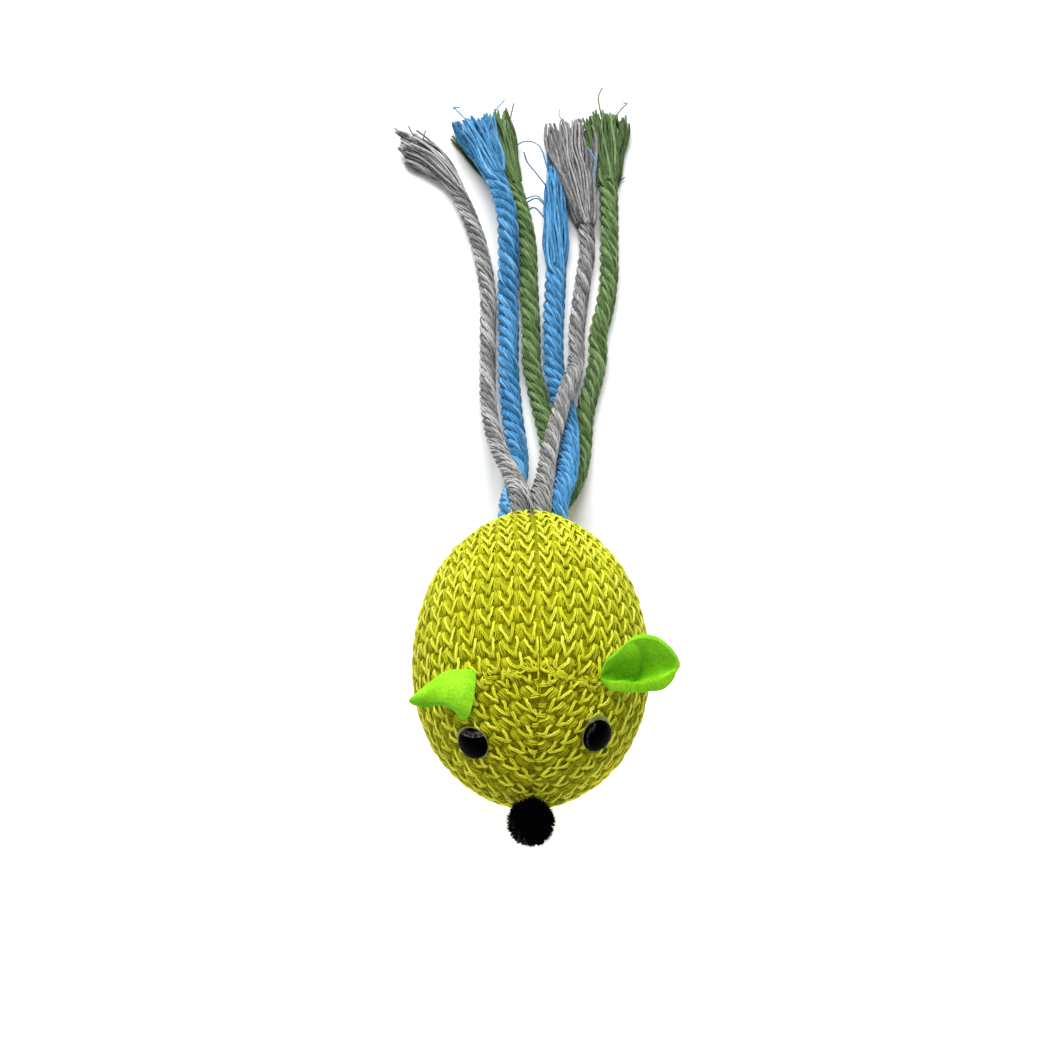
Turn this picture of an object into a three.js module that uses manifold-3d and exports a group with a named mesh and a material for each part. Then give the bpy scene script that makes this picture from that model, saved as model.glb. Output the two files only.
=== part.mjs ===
// Knitted mouse, a cat toy: two knitted sides sewn round a fibre filling with a herb sachet in its middle,
// felt ears sewn into darts, glued button eyes, a pom-pom nose and a tail of six cotton cords.
// Millimetres, +Z up. The nose points along -Y, the tail runs along +Y and the belly rests on z = 0.
// Left and right are the mouse's own, so its left side is at +X.
import * as THREE from 'three';
import { mergeVertices } from 'three/addons/utils/BufferGeometryUtils.js';
import Module from 'manifold-3d';

const wasm = await Module();
wasm.setup();

const clearance = 0.3; // gap between pieces that touch
const threadDiameter = 0.9; // sewing thread in every seam
const threadSides = 6;

// Stuffed body, measured from its widest section
const widestY = -3.4;
const frontLength = 36.6;
const rearLength = 43.4;
const halfWidth = 30.7;
const backHeight = 28; // centre line up to the back
const bellyDepth = 24.5; // centre line down to the uncut belly
const bellyCut = 0.5; // depth of the flat that the toy rests on
const bellyFlatness = 3; // 2 is round, more is flatter underneath
const rearTaper = 0.35;
const frontTaper = 0.12;
const coverThickness = 2.5; // knitted fabric
const seamLean = THREE.MathUtils.degToRad(4.5); // hand sewing left the top seam off centre
const backSeamSpan = [24, 172]; // degrees round the seam: 0 is the tail, 90 the back, 180 the nose
const bellySeamSpan = [346, 188];
const aroundCount = 36; // facets round and along the body
const alongCount = 22;

// Darts that take the ears in, from the top seam outwards
const dartBack = 26.8; // behind the snout, at the seam
const dartTurn = THREE.MathUtils.degToRad(8); // each dart runs forward as it leaves the seam

// Felt ears: where each is sewn on, out from the middle and back from the snout, the way it reaches, the way
// its hollow faces, how deep it is cupped and how wide its sewn end is, as a share of its full width
const feltThickness = 1.4;
const earLength = 20.5;
const earHalfWidth = 9.5;
const ears = {
  left: { spot: [17, 24.6], reach: [0.95, 0.2, 0.1], hollow: [0, -0.5, 0.86], cup: 5.5, neck: 0.35 },
  right: { spot: [-14.6, 24.8], reach: [-0.95, -0.18, -0.2], hollow: [-0.1, 0.2, -0.95], cup: 6, neck: 0.6 },
};

// Button eyes on their glue, placed out from the middle and back from the snout
const eyeDiameter = 9;
const eyeRim = 0.8; // straight wall under the dome
const eyeBevel = 0.5;
const eyeHeight = 2.7;
const glueDiameter = 7;
const glueThickness = 0.5;
const eyeSpots = { left: [16.3, 13.4], right: [-14.3, 11.5] };

// Pom-pom nose and the stitch that ties it on
const noseDiameter = 12.7;
const noseSink = 1.85; // depth that the pom-pom is pressed into the snout
const stitchInNose = 2.5; // stitch length beyond the pom-pom's centre
const stitchInFilling = 5;

// Herb sachet
const sachetBack = 35; // its middle behind the snout
const sachetHalfLength = 19;
const sachetHalfWidth = 14;
const sachetHalfHeight = 6;
const sachetRim = 3; // flat sealed edge
const sachetCloth = 0.5;

// Tail: where the cords enter, where they are bound and where they first lie flat on the ground
const tailEntryY = 23;
const tailBendY = 98;
const bindingY = 24.5;
const bindingWidth = 4;
const bindingThickness = 0.8;
const cordSides = 10;
const rootSteps = 8;
const endSteps = 5;
const tuftLength = 8;
const tuftFlare = 1.25; // frayed end over cord, in diameter
const groundGap = 0.1; // cords lie this far clear of the ground

// Each cord's route: the sewn-in root as far as the bend, the bend itself, then the free end
const cords = [
  {
    name: 'grey_right',
    colour: 0xa6a6a6,
    diameter: 4.6,
    bend: [-12, 2.4],
    root: [[-2.5, tailEntryY, 28.6], [-2.5, 34, 28.6], [-2.6, 41, 28.6], [-4.4, 49.5, 22.2],
      [-8, 60.7, 13.6], [-10, 67.9, 9.2], [-11.8, 80.9, 4.6], [-12, 92, 2.4]],
    end: [[-12, 103, 2.4], [-12.3, 117.5, 2.4], [-16.4, 136.2, 2.4], [-23, 154.6, 2.6], [-29, 160.6, 3]],
  },
  {
    name: 'blue_right',
    colour: 0x4a95cf,
    diameter: 6,
    bend: [-6.2, 3.1],
    root: [[-5.5, tailEntryY, 23.3], [-5.5, 34, 23.3], [-5.6, 41, 22.2], [-4.1, 52.3, 11.2],
      [-3.5, 60.2, 7.2], [-4.2, 69.9, 3.8], [-5.2, 78, 3.1], [-6.2, 92, 3.1]],
    end: [[-6.2, 103, 3.1], [-6.4, 114, 3.6], [-6.2, 126, 6.6], [-6.8, 138, 8.7], [-9.8, 149, 8.7],
      [-13.3, 160, 8.7]],
  },
  {
    name: 'green_middle',
    colour: 0x668f4b,
    diameter: 5.4,
    bend: [0.2, 2.8],
    root: [[0.6, tailEntryY, 22.9], [0.6, 34, 22.9], [0.7, 41, 23], [2.6, 48, 16.8], [4.9, 56.7, 9.8],
      [5, 68.3, 4.3], [2.4, 82, 2.8], [0.3, 93, 2.8]],
    end: [[0.2, 103, 2.8], [-0.4, 116.4, 2.8], [-1.2, 133.5, 2.8], [-5.6, 152.2, 2.8], [-9.4, 165, 2.8]],
  },
  {
    name: 'blue_left',
    colour: 0x4a95cf,
    diameter: 6,
    bend: [6.4, 3.1],
    root: [[6.8, tailEntryY, 24.6], [6.8, 34, 24.6], [7, 41.4, 24.4], [9.6, 53.6, 16], [10.4, 66.7, 8.8],
      [9.6, 78, 4.5], [7.4, 86, 3.1], [6.4, 93, 3.1]],
    end: [[6.4, 104, 3.1], [7.2, 119.8, 3.1], [7.4, 130.5, 3.1], [7, 146, 3.1]],
  },
  {
    name: 'grey_left',
    colour: 0xa6a6a6,
    diameter: 4.6,
    bend: [13, 2.4],
    root: [[2.6, tailEntryY, 28.6], [2.6, 34, 28.6], [2.7, 41, 28.6], [3.6, 48.6, 23.3], [5, 59.5, 17.4],
      [8, 73.9, 12.2], [10.8, 84.5, 9.4], [12.6, 91.5, 3.8], [12.8, 95, 2.4]],
    end: [[13, 103, 2.4], [15, 119.7, 2.4], [16.3, 130.6, 2.6], [14.9, 142.4, 4], [13.4, 154.7, 5],
      [12.4, 162, 5]],
  },
  {
    name: 'green_left',
    colour: 0x668f4b,
    diameter: 5.4,
    bend: [19, 2.8],
    root: [[4.8, tailEntryY, 18], [4.8, 34, 18.2], [5.2, 41, 17.9], [9.8, 49.8, 10], [12.8, 58.5, 5],
      [14.2, 66.5, 2.9], [15.2, 78, 2.8], [17.6, 88, 2.8], [18.8, 94, 2.8]],
    end: [[19, 102, 2.8], [21, 110.4, 2.8], [22.3, 119.6, 2.8], [22.6, 130.6, 2.8], [22.6, 152.2, 2.8],
      [22, 166, 2.9]],
  },
];

// Worked out from the sizes above
const centreZ = bellyDepth - bellyCut;
const snoutY = widestY - frontLength;
const dartY = snoutY + dartBack;
const sachetY = snoutY + sachetBack;
const seamGap = threadDiameter + 2 * clearance;
const fillingInset = coverThickness + clearance;
const threadInset = coverThickness / 2;
const worldSize = 400;

const knit = { color: 0xbdbf2c, roughness: 0.85 };
const thread = { color: 0xb4b62a, roughness: 0.8 };
const felt = { color: 0x7fd62a, roughness: 0.95 };
const blackPlastic = { color: 0x050505, roughness: 0.12 };
const glue = { color: 0xd6d8b8, roughness: 0.35 };
const pompom = { color: 0x070707, roughness: 1 };
const fibre = { color: 0xe8e6df, roughness: 1 };
const sachetPaper = { color: 0xdcd7c6, roughness: 0.9 };
const herb = { color: 0x6d7a3a, roughness: 1 };

const mouse = new THREE.Group();

function addPiece(name, geometry, look, parent = mouse) {
  const material = new THREE.MeshStandardMaterial({ metalness: 0, ...look });
  const piece = new THREE.Mesh(geometry, material);
  piece.name = name;
  parent.add(piece);
  return piece;
}

function toSolid(geometry) {
  const bare = geometry.index ? geometry.clone() : mergeVertices(geometry);
  bare.deleteAttribute('normal');
  bare.deleteAttribute('uv');
  const merged = mergeVertices(bare, 1e-4);
  const mesh = new wasm.Mesh({
    numProp: 3,
    vertProperties: new Float32Array(merged.attributes.position.array),
    triVerts: new Uint32Array(merged.index.array),
  });
  return new wasm.Manifold(mesh);
}

function toGeometry(solid) {
  const mesh = solid.getMesh();
  const geometry = new THREE.BufferGeometry();
  geometry.setAttribute('position', new THREE.BufferAttribute(mesh.vertProperties, 3));
  geometry.setIndex(new THREE.BufferAttribute(mesh.triVerts, 1));
  geometry.computeVertexNormals();
  return geometry;
}

function boxSolid(size, centre, turn = 0) {
  const box = new THREE.BoxGeometry(...size);
  box.rotateZ(turn);
  box.translate(...centre);
  return toSolid(box);
}

// Half of all space beside the leaning seam, clear of the seam thread
function besideSeam(side) {
  const half = new THREE.BoxGeometry(worldSize, worldSize, worldSize);
  half.translate(side * (worldSize + seamGap) / 2, 0, 0);
  half.rotateY(seamLean);
  half.translate(0, 0, centreZ);
  return toSolid(half);
}

// Half of all space above (+1) or below (-1) the level where the filling parts
function besideParting(side) {
  const away = (worldSize + clearance) / 2;
  return boxSolid([worldSize, worldSize, worldSize], [0, 0, centreZ + side * away]);
}

function taperAt(unitY) {
  return 1 - (unitY > 0 ? rearTaper : frontTaper) * Math.abs(unitY) ** 6;
}

// Point of the body's surface for a direction on the unit sphere, drawn in by the inset
function bodyPoint(unit, inset) {
  const reach = (unit.y > 0 ? rearLength : frontLength) - inset;
  const ring = Math.sqrt(Math.max(0, 1 - unit.z ** 2));
  const bellyCurve = Math.max(0, 1 - ring ** bellyFlatness) ** (1 / bellyFlatness);
  const rise = unit.z > 0 ? (backHeight - inset) * unit.z : -(bellyDepth - inset) * bellyCurve;
  const taper = taperAt(unit.y);
  return new THREE.Vector3(
    (halfWidth - inset) * taper * unit.x,
    widestY + reach * unit.y,
    Math.max(centreZ + taper * rise, inset),
  );
}

// Point of the back above a plan position
function backPoint(x, y, inset = 0) {
  const reach = (y > widestY ? rearLength : frontLength) - inset;
  const unitY = (y - widestY) / reach;
  const unitX = x / ((halfWidth - inset) * taperAt(unitY));
  const unitZ = Math.sqrt(1 - unitX ** 2 - unitY ** 2);
  return bodyPoint(new THREE.Vector3(unitX, unitY, unitZ), inset);
}

function backNormal(x, y) {
  const step = 0.1;
  const acrossX = backPoint(x + step, y).sub(backPoint(x - step, y));
  const alongY = backPoint(x, y + step).sub(backPoint(x, y - step));
  return acrossX.cross(alongY).normalize();
}

function bodySolid(inset) {
  const form = new THREE.SphereGeometry(1, aroundCount, alongCount);
  const position = form.attributes.position;
  const unit = new THREE.Vector3();
  for (let i = 0; i < position.count; i += 1) {
    unit.fromBufferAttribute(position, i).normalize();
    const point = bodyPoint(unit, inset);
    position.setXYZ(i, point.x, point.y, point.z);
  }
  return toSolid(form);
}

function circleShape(radius, sides) {
  const corners = [];
  for (let i = 0; i < sides; i += 1) {
    const angle = (2 * Math.PI * i) / sides;
    corners.push(new THREE.Vector2(radius * Math.cos(angle), radius * Math.sin(angle)));
  }
  return new THREE.Shape(corners);
}

function tubeAlong(points, diameter, sides, steps) {
  const section = circleShape(diameter / 2, sides);
  const extrudePath = new THREE.CatmullRomCurve3(points);
  return new THREE.ExtrudeGeometry(section, { steps, extrudePath, bevelEnabled: false });
}

// Rod along Y between two places
function rodSolid(diameter, fromY, toY, z) {
  const rod = new THREE.CylinderGeometry(diameter / 2, diameter / 2, toY - fromY, 12);
  rod.translate(0, (fromY + toY) / 2, z);
  return toSolid(rod);
}

// Upright-sided block along Y round the whole cord bundle, grown by a margin
function bundleBlock(margin, fromY, toY) {
  const low = new THREE.Vector2(Infinity, Infinity);
  const high = new THREE.Vector2(-Infinity, -Infinity);
  cords.forEach((cord) => {
    const [x, , z] = cord.root[0];
    const radius = cord.diameter / 2 + margin;
    low.min(new THREE.Vector2(x - radius, z - radius));
    high.max(new THREE.Vector2(x + radius, z + radius));
  });
  const size = [high.x - low.x, toY - fromY, high.y - low.y];
  const centre = [(low.x + high.x) / 2, (fromY + toY) / 2, (low.y + high.y) / 2];
  return boxSolid(size, centre);
}

function dartEnd(side) {
  return Math.abs(ears[side > 0 ? 'left' : 'right'].spot[0]);
}

// Slit in the cover that a dart's thread and the ear's sewn edge lie in
function dartSlit(side) {
  const length = dartEnd(side);
  const turn = -side * dartTurn;
  const centre = [
    (side * length * Math.cos(dartTurn)) / 2,
    dartY - (length * Math.sin(dartTurn)) / 2,
    centreZ + backHeight,
  ];
  return boxSolid([length, seamGap, 2 * (backHeight - coverThickness)], centre, turn);
}

function addCover() {
  const outside = bodySolid(0);
  const inside = bodySolid(coverThickness);
  const tailGap = bundleBlock(clearance, tailEntryY, worldSize / 2);
  const shell = outside.subtract(inside).subtract(tailGap);
  const sides = { left_side_panel: 1, right_side_panel: -1 };
  Object.entries(sides).forEach(([name, side]) => {
    const panel = shell.intersect(besideSeam(side)).subtract(dartSlit(side));
    addPiece(name, toGeometry(panel), knit);
  });
}

// Thread in the seam from one angle to another
function addSeamThread(name, fromDegrees, toDegrees) {
  const points = [];
  const count = 9;
  for (let i = 0; i < count; i += 1) {
    const angle = THREE.MathUtils.degToRad(fromDegrees + ((toDegrees - fromDegrees) * i) / (count - 1));
    const point = bodyPoint(new THREE.Vector3(0, Math.cos(angle), Math.sin(angle)), threadInset);
    point.x = (point.z - centreZ) * Math.tan(seamLean);
    points.push(point);
  }
  addPiece(name, tubeAlong(points, threadDiameter, threadSides, 20), thread);
}

function addDartThread(name, side) {
  const points = [];
  const seamTop = backHeight * Math.tan(seamLean) * side;
  const start = Math.max(seamTop, 0) + seamGap;
  const end = dartEnd(side) - clearance;
  const count = 5;
  for (let i = 0; i < count; i += 1) {
    const along = start + ((end - start) * i) / (count - 1);
    const x = side * along * Math.cos(dartTurn);
    points.push(backPoint(x, dartY - along * Math.sin(dartTurn), threadInset));
  }
  addPiece(name, tubeAlong(points, threadDiameter, threadSides, 6), thread);
}

// Flattened ball for the sachet, and its sealed edge
function pillowSolid(grow) {
  const pillow = new THREE.SphereGeometry(1, 24, 12);
  pillow.rotateX(Math.PI / 2);
  pillow.scale(sachetHalfWidth + grow, sachetHalfLength + grow, sachetHalfHeight + grow);
  pillow.translate(0, sachetY, centreZ);
  return toSolid(pillow);
}

function sachetRimSolid(grow) {
  const thickness = 2 * (sachetCloth + clearance / 2 + grow);
  const rim = new THREE.CylinderGeometry(1, 1, thickness, 24);
  rim.rotateX(Math.PI / 2);
  rim.scale(sachetHalfWidth + sachetRim + grow, sachetHalfLength + sachetRim + grow, 1);
  rim.translate(0, sachetY, centreZ);
  return toSolid(rim);
}

function addSachet() {
  const cloth = pillowSolid(0).add(sachetRimSolid(0)).subtract(pillowSolid(-sachetCloth));
  addPiece('sachet_upper_cloth', toGeometry(cloth.intersect(besideParting(1))), sachetPaper);
  addPiece('sachet_lower_cloth', toGeometry(cloth.intersect(besideParting(-1))), sachetPaper);
  addPiece('catnip_filling', toGeometry(pillowSolid(-sachetCloth - clearance)), herb);
}

function noseCentreY() {
  return snoutY - noseDiameter / 2 + noseSink;
}

function stitchSpan() {
  return [noseCentreY() - stitchInNose, snoutY + coverThickness + stitchInFilling];
}

function addFilling() {
  const [stitchFront, stitchBack] = stitchSpan();
  const sachetRoom = pillowSolid(clearance).add(sachetRimSolid(clearance));
  const tailRoom = bundleBlock(bindingThickness + 2 * clearance, tailEntryY - clearance, worldSize / 2);
  const stitchRoom = rodSolid(seamGap, stitchFront, stitchBack + clearance, centreZ);
  const filling = bodySolid(fillingInset).subtract(sachetRoom).subtract(tailRoom).subtract(stitchRoom);
  addPiece('upper_fibre_filling', toGeometry(filling.intersect(besideParting(1))), fibre);
  addPiece('lower_fibre_filling', toGeometry(filling.intersect(besideParting(-1))), fibre);
}

// Cupped felt blade: a flat block drawn to a teardrop and curled up at its edges, sewn end at the origin
function earBlade(cup, neck) {
  const blade = new THREE.BoxGeometry(2, 2, feltThickness, 10, 8, 1);
  const position = blade.attributes.position;
  for (let i = 0; i < position.count; i += 1) {
    const p = position.getX(i);
    const q = position.getY(i);
    const along = p * Math.sqrt(1 - (q * q) / 2);
    const across = q * Math.sqrt(1 - (p * p) / 2);
    const spread = neck + 0.5 * (1 - neck) * (along + 1);
    const curl = cup * (across * across + 0.25 * Math.max(0, along) ** 2);
    const height = position.getZ(i) + curl;
    position.setXYZ(i, (earLength * (along + 1)) / 2, earHalfWidth * spread * across, height);
  }
  return blade;
}

function addEar(name, { spot, reach, hollow, cup, neck }) {
  const outward = new THREE.Vector3(...reach).normalize();
  const across = new THREE.Vector3(...hollow).cross(outward).normalize();
  const inward = outward.clone().cross(across);
  const seatY = snoutY + spot[1];
  const seat = backPoint(spot[0], seatY);
  seat.addScaledVector(backNormal(spot[0], seatY), clearance + feltThickness / 2);
  const blade = earBlade(cup, neck);
  blade.applyMatrix4(new THREE.Matrix4().makeBasis(outward, across, inward));
  blade.translate(seat.x, seat.y, seat.z);
  addPiece(name, toGeometry(toSolid(blade).subtract(bodySolid(-clearance))), felt);
}

function eyeDome() {
  const radius = eyeDiameter / 2;
  const domeRadius = radius - eyeBevel;
  const domeBase = eyeRim + eyeBevel;
  const profile = [
    new THREE.Vector2(0, 0),
    new THREE.Vector2(radius - eyeBevel / 2, 0),
    new THREE.Vector2(radius, eyeBevel / 2),
    new THREE.Vector2(radius, eyeRim),
  ];
  for (let i = 0; i <= 5; i += 1) {
    const angle = (Math.PI / 2) * (i / 5);
    const height = domeBase + (eyeHeight - domeBase) * Math.sin(angle);
    profile.push(new THREE.Vector2(i === 5 ? 0 : domeRadius * Math.cos(angle), height));
  }
  return new THREE.LatheGeometry(profile, 24);
}

// Eye and glue stand on the surface, with their axis along its normal
function addEye(side, [x, back]) {
  const y = snoutY + back;
  const socket = new THREE.Group();
  socket.position.copy(backPoint(x, y));
  socket.quaternion.setFromUnitVectors(new THREE.Vector3(0, 1, 0), backNormal(x, y));
  mouse.add(socket);
  const padShape = new THREE.CylinderGeometry(glueDiameter / 2, glueDiameter / 2, glueThickness, 24);
  const pad = addPiece(`${side}_eye_glue`, padShape, glue, socket);
  pad.position.y = clearance + glueThickness / 2;
  const eye = addPiece(`${side}_eye`, eyeDome(), blackPlastic, socket);
  eye.position.y = 2 * clearance + glueThickness;
}

function addNose() {
  const [stitchFront, stitchBack] = stitchSpan();
  const ball = new THREE.SphereGeometry(noseDiameter / 2, 20, 14);
  ball.translate(0, noseCentreY(), centreZ);
  const stitchRoom = rodSolid(seamGap, stitchFront - clearance, stitchBack, centreZ);
  const nose = toSolid(ball).subtract(bodySolid(-clearance)).subtract(stitchRoom);
  addPiece('nose_pompom', toGeometry(nose), pompom);
  addPiece('nose_stitch', toGeometry(rodSolid(threadDiameter, stitchFront, stitchBack, centreZ)), thread);
}

// Frayed end: a short flare that grows out of the cord's own end
function tuftSolid(cord) {
  const radius = cord.diameter / 2;
  const widest = radius * tuftFlare;
  const profile = [
    new THREE.Vector2(0, -cord.diameter),
    new THREE.Vector2(radius / 2, -cord.diameter),
    new THREE.Vector2(widest, tuftLength * 0.6),
    new THREE.Vector2(widest * 0.9, tuftLength),
    new THREE.Vector2(0, tuftLength),
  ];
  const flare = new THREE.LatheGeometry(profile, cordSides);
  const [before, last] = cord.end.slice(-2).map((point) => new THREE.Vector3(...point));
  const direction = last.clone().sub(before).setZ(0).normalize();
  flare.applyQuaternion(new THREE.Quaternion().setFromUnitVectors(new THREE.Vector3(0, 1, 0), direction));
  flare.translate(last.x, last.y, Math.max(last.z, widest + groundGap));
  return toSolid(flare);
}

function addCord(cord) {
  const [bendX, bendZ] = cord.bend;
  const toPoints = (route) => route.map((point) => new THREE.Vector3(...point));
  const rootEnd = new THREE.Vector3(bendX, tailBendY - clearance / 2, bendZ);
  const freeStart = new THREE.Vector3(bendX, tailBendY + clearance / 2, bendZ);
  const root = tubeAlong([...toPoints(cord.root), rootEnd], cord.diameter, cordSides, rootSteps);
  const free = tubeAlong([freeStart, ...toPoints(cord.end)], cord.diameter, cordSides, endSteps);
  const look = { color: cord.colour, roughness: 0.9 };
  addPiece(`tail_root_${cord.name}`, root, look);
  addPiece(`tail_end_${cord.name}`, toGeometry(toSolid(free).add(tuftSolid(cord))), look);
}

function addTailBinding() {
  const span = [bindingY, bindingY + bindingWidth];
  const outside = bundleBlock(clearance + bindingThickness, ...span);
  const inside = bundleBlock(clearance, span[0] - 1, span[1] + 1);
  addPiece('tail_binding', toGeometry(outside.subtract(inside)), thread);
}

addCover();
addSeamThread('back_seam_thread', ...backSeamSpan);
addSeamThread('belly_seam_thread', ...bellySeamSpan);
addDartThread('left_dart_thread', 1);
addDartThread('right_dart_thread', -1);
addFilling();
addSachet();
Object.entries(ears).forEach(([side, ear]) => addEar(`${side}_ear`, ear));
Object.entries(eyeSpots).forEach(([side, spot]) => addEye(side, spot));
addNose();
addTailBinding();
cords.forEach(addCord);

export default mouse;
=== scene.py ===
import math

import bmesh
import bpy
import numpy as np
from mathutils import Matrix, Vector, noise


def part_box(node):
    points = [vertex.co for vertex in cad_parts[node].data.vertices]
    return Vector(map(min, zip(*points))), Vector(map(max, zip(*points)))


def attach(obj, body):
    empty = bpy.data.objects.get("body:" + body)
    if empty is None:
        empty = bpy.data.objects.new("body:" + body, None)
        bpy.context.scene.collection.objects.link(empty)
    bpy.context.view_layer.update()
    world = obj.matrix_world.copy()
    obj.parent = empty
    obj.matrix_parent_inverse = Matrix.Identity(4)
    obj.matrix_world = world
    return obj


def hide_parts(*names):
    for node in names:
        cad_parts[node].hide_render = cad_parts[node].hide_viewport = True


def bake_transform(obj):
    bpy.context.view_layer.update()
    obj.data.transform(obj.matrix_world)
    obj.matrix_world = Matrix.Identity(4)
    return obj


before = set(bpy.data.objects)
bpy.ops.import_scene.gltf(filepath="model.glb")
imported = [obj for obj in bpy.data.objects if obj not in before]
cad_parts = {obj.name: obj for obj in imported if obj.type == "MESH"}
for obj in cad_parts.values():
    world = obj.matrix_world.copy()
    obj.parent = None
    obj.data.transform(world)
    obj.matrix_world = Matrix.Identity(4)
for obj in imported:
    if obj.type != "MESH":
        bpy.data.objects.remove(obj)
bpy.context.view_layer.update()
scene = bpy.context.scene
mm = 0.001
print("frame loaded")

# Camera, light and floor
view = {
    "elevation": 68.0,
    "distance": 650 * mm,
    "target": (-1.5 * mm, 45.5 * mm, 0.0),
    "lens": 81.33,
    "sensor": 36.0,
    "clipStart": 0.01,
}
studio = {
    "worldStrength": 0.45,
    "floorSize": 6.0,
    "floorGlow": 0.75,
    "tailGlow": 0.05,
    "tailMiddle": (0, 0.115, 0),
    "tailReach": (0.075, 0.14),
    "keyPower": 16.0,
    "keyPlace": (-0.12, 0.70, 0.88),
    "keyAim": (0, 0.03, 0.02),
    "keySize": 0.8,
}


def addCamera():
    angle = math.radians(view["elevation"])
    back = Vector((0, -math.cos(angle), math.sin(angle)))
    data = bpy.data.cameras.new("photoCamera")
    data.lens = view["lens"]
    data.sensor_width = view["sensor"]
    data.clip_start = view["clipStart"]
    camera = bpy.data.objects.new("photoCamera", data)
    camera.location = Vector(view["target"]) + back * view["distance"]
    camera.rotation_mode = "QUATERNION"
    camera.rotation_quaternion = (-back).to_track_quat("-Z", "Y")
    scene.collection.objects.link(camera)
    scene.camera = camera


def addNode(tree, kind, inputs=None, **settings):
    node = tree.nodes.new(kind)
    for key, value in settings.items():
        setattr(node, key, value)
    for key, value in (inputs or {}).items():
        if isinstance(value, bpy.types.NodeSocket):
            tree.links.new(value, node.inputs[key])
        else:
            node.inputs[key].default_value = value
    return node


def mathNode(tree, operation, *values):
    return addNode(tree, "ShaderNodeMath", dict(enumerate(values)), operation=operation).outputs[0]


def noiseNode(tree, place, scale, detail=4.0, roughness=0.5):
    inputs = {"Vector": place, "Scale": scale, "Detail": detail, "Roughness": roughness}
    return addNode(tree, "ShaderNodeTexNoise", inputs).outputs["Fac"]


def objectPlace(tree):
    return addNode(tree, "ShaderNodeTexCoord").outputs["Object"]


def attributeNode(tree, name, output):
    return addNode(tree, "ShaderNodeAttribute", attribute_name=name).outputs[output]


def shadedColour(tree, colour, shade):
    inputs = {"Factor": 1.0, "A": colour, "B": shade}
    return addNode(tree, "ShaderNodeMix", inputs, data_type="RGBA", blend_type="MULTIPLY").outputs[2]


def colourRamp(tree, factor, stops):
    node = addNode(tree, "ShaderNodeValToRGB", {"Fac": factor})
    elements = node.color_ramp.elements
    while len(elements) < len(stops):
        elements.new(0.5)
    for element, (position, colour) in zip(elements, stops):
        element.position = position
        element.color = (*colour, 1)
    return node.outputs["Color"]


def newMaterial(name, **sockets):
    material = bpy.data.materials.new(name)
    material.use_nodes = True
    shader = material.node_tree.nodes["Principled BSDF"]
    for key, value in sockets.items():
        shader.inputs[key.replace("_", " ")].default_value = value
    return material, material.node_tree, shader


def addBump(tree, shader, height, strength, distance):
    bump = addNode(tree, "ShaderNodeBump", {"Height": height, "Strength": strength, "Distance": distance})
    tree.links.new(bump.outputs["Normal"], shader.inputs["Normal"])


def addKeyLight():
    data = bpy.data.lights.new("keyLight", "AREA")
    data.size = studio["keySize"]
    data.energy = studio["keyPower"]
    lamp = bpy.data.objects.new("keyLight", data)
    lamp.location = studio["keyPlace"]
    lamp.rotation_mode = "QUATERNION"
    aim = Vector(studio["keyAim"]) - Vector(studio["keyPlace"])
    lamp.rotation_quaternion = aim.to_track_quat("-Z", "Y")
    scene.collection.objects.link(lamp)


def addStudio():
    world = bpy.data.worlds.new("studioLight")
    world.use_nodes = True
    background = world.node_tree.nodes["Background"]
    background.inputs["Color"].default_value = (1, 1, 1, 1)
    background.inputs["Strength"].default_value = studio["worldStrength"]
    scene.world = world
    scene.view_settings.view_transform = "Standard"
    addKeyLight()
    bm = bmesh.new()
    bmesh.ops.create_grid(bm, x_segments=1, y_segments=1, size=studio["floorSize"] / 2)
    paper, tree, shader = newMaterial("floorPaper", Roughness=0.9, Emission_Strength=1.0)
    place = objectPlace(tree)
    grain = noiseNode(tree, place, 40.0, 3.0)
    tint = colourRamp(tree, grain, [(0.3, (0.93, 0.93, 0.93)), (0.7, (0.97, 0.97, 0.97))])
    tree.links.new(tint, shader.inputs["Base Color"])
    # The floor glows of itself: painted light that washes out cast shadows. The glow is weaker round the
    # tail, so the cords' shadows show there
    reach = addNode(tree, "ShaderNodeVectorMath", {0: place, 1: studio["tailMiddle"]}, operation="DISTANCE")
    near, far = studio["tailReach"]
    glow = addNode(tree, "ShaderNodeMapRange", {
        "Value": reach.outputs["Value"], "From Min": near, "From Max": far, "To Min": studio["tailGlow"],
        "To Max": studio["floorGlow"]})
    tree.links.new(glow.outputs["Result"], shader.inputs["Emission Color"])
    newObject("floor", bm, paper)


def newObject(name, bm, material=None):
    mesh = bpy.data.meshes.new(name)
    for face in bm.faces:
        face.smooth = True
    bm.to_mesh(mesh)
    bm.free()
    piece = bpy.data.objects.new(name, mesh)
    scene.collection.objects.link(piece)
    if material:
        mesh.materials.append(material)
    return piece


# A piece that the body carries, which hides the solid that it stands for
def settle(piece, node=None):
    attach(piece, "body")
    if node:
        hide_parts(node)


def appliedMesh(piece):
    graph = bpy.context.evaluated_depsgraph_get()
    return bpy.data.meshes.new_from_object(piece.evaluated_get(graph))


evenTaper = ([0, 1], [1, 1])


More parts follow.
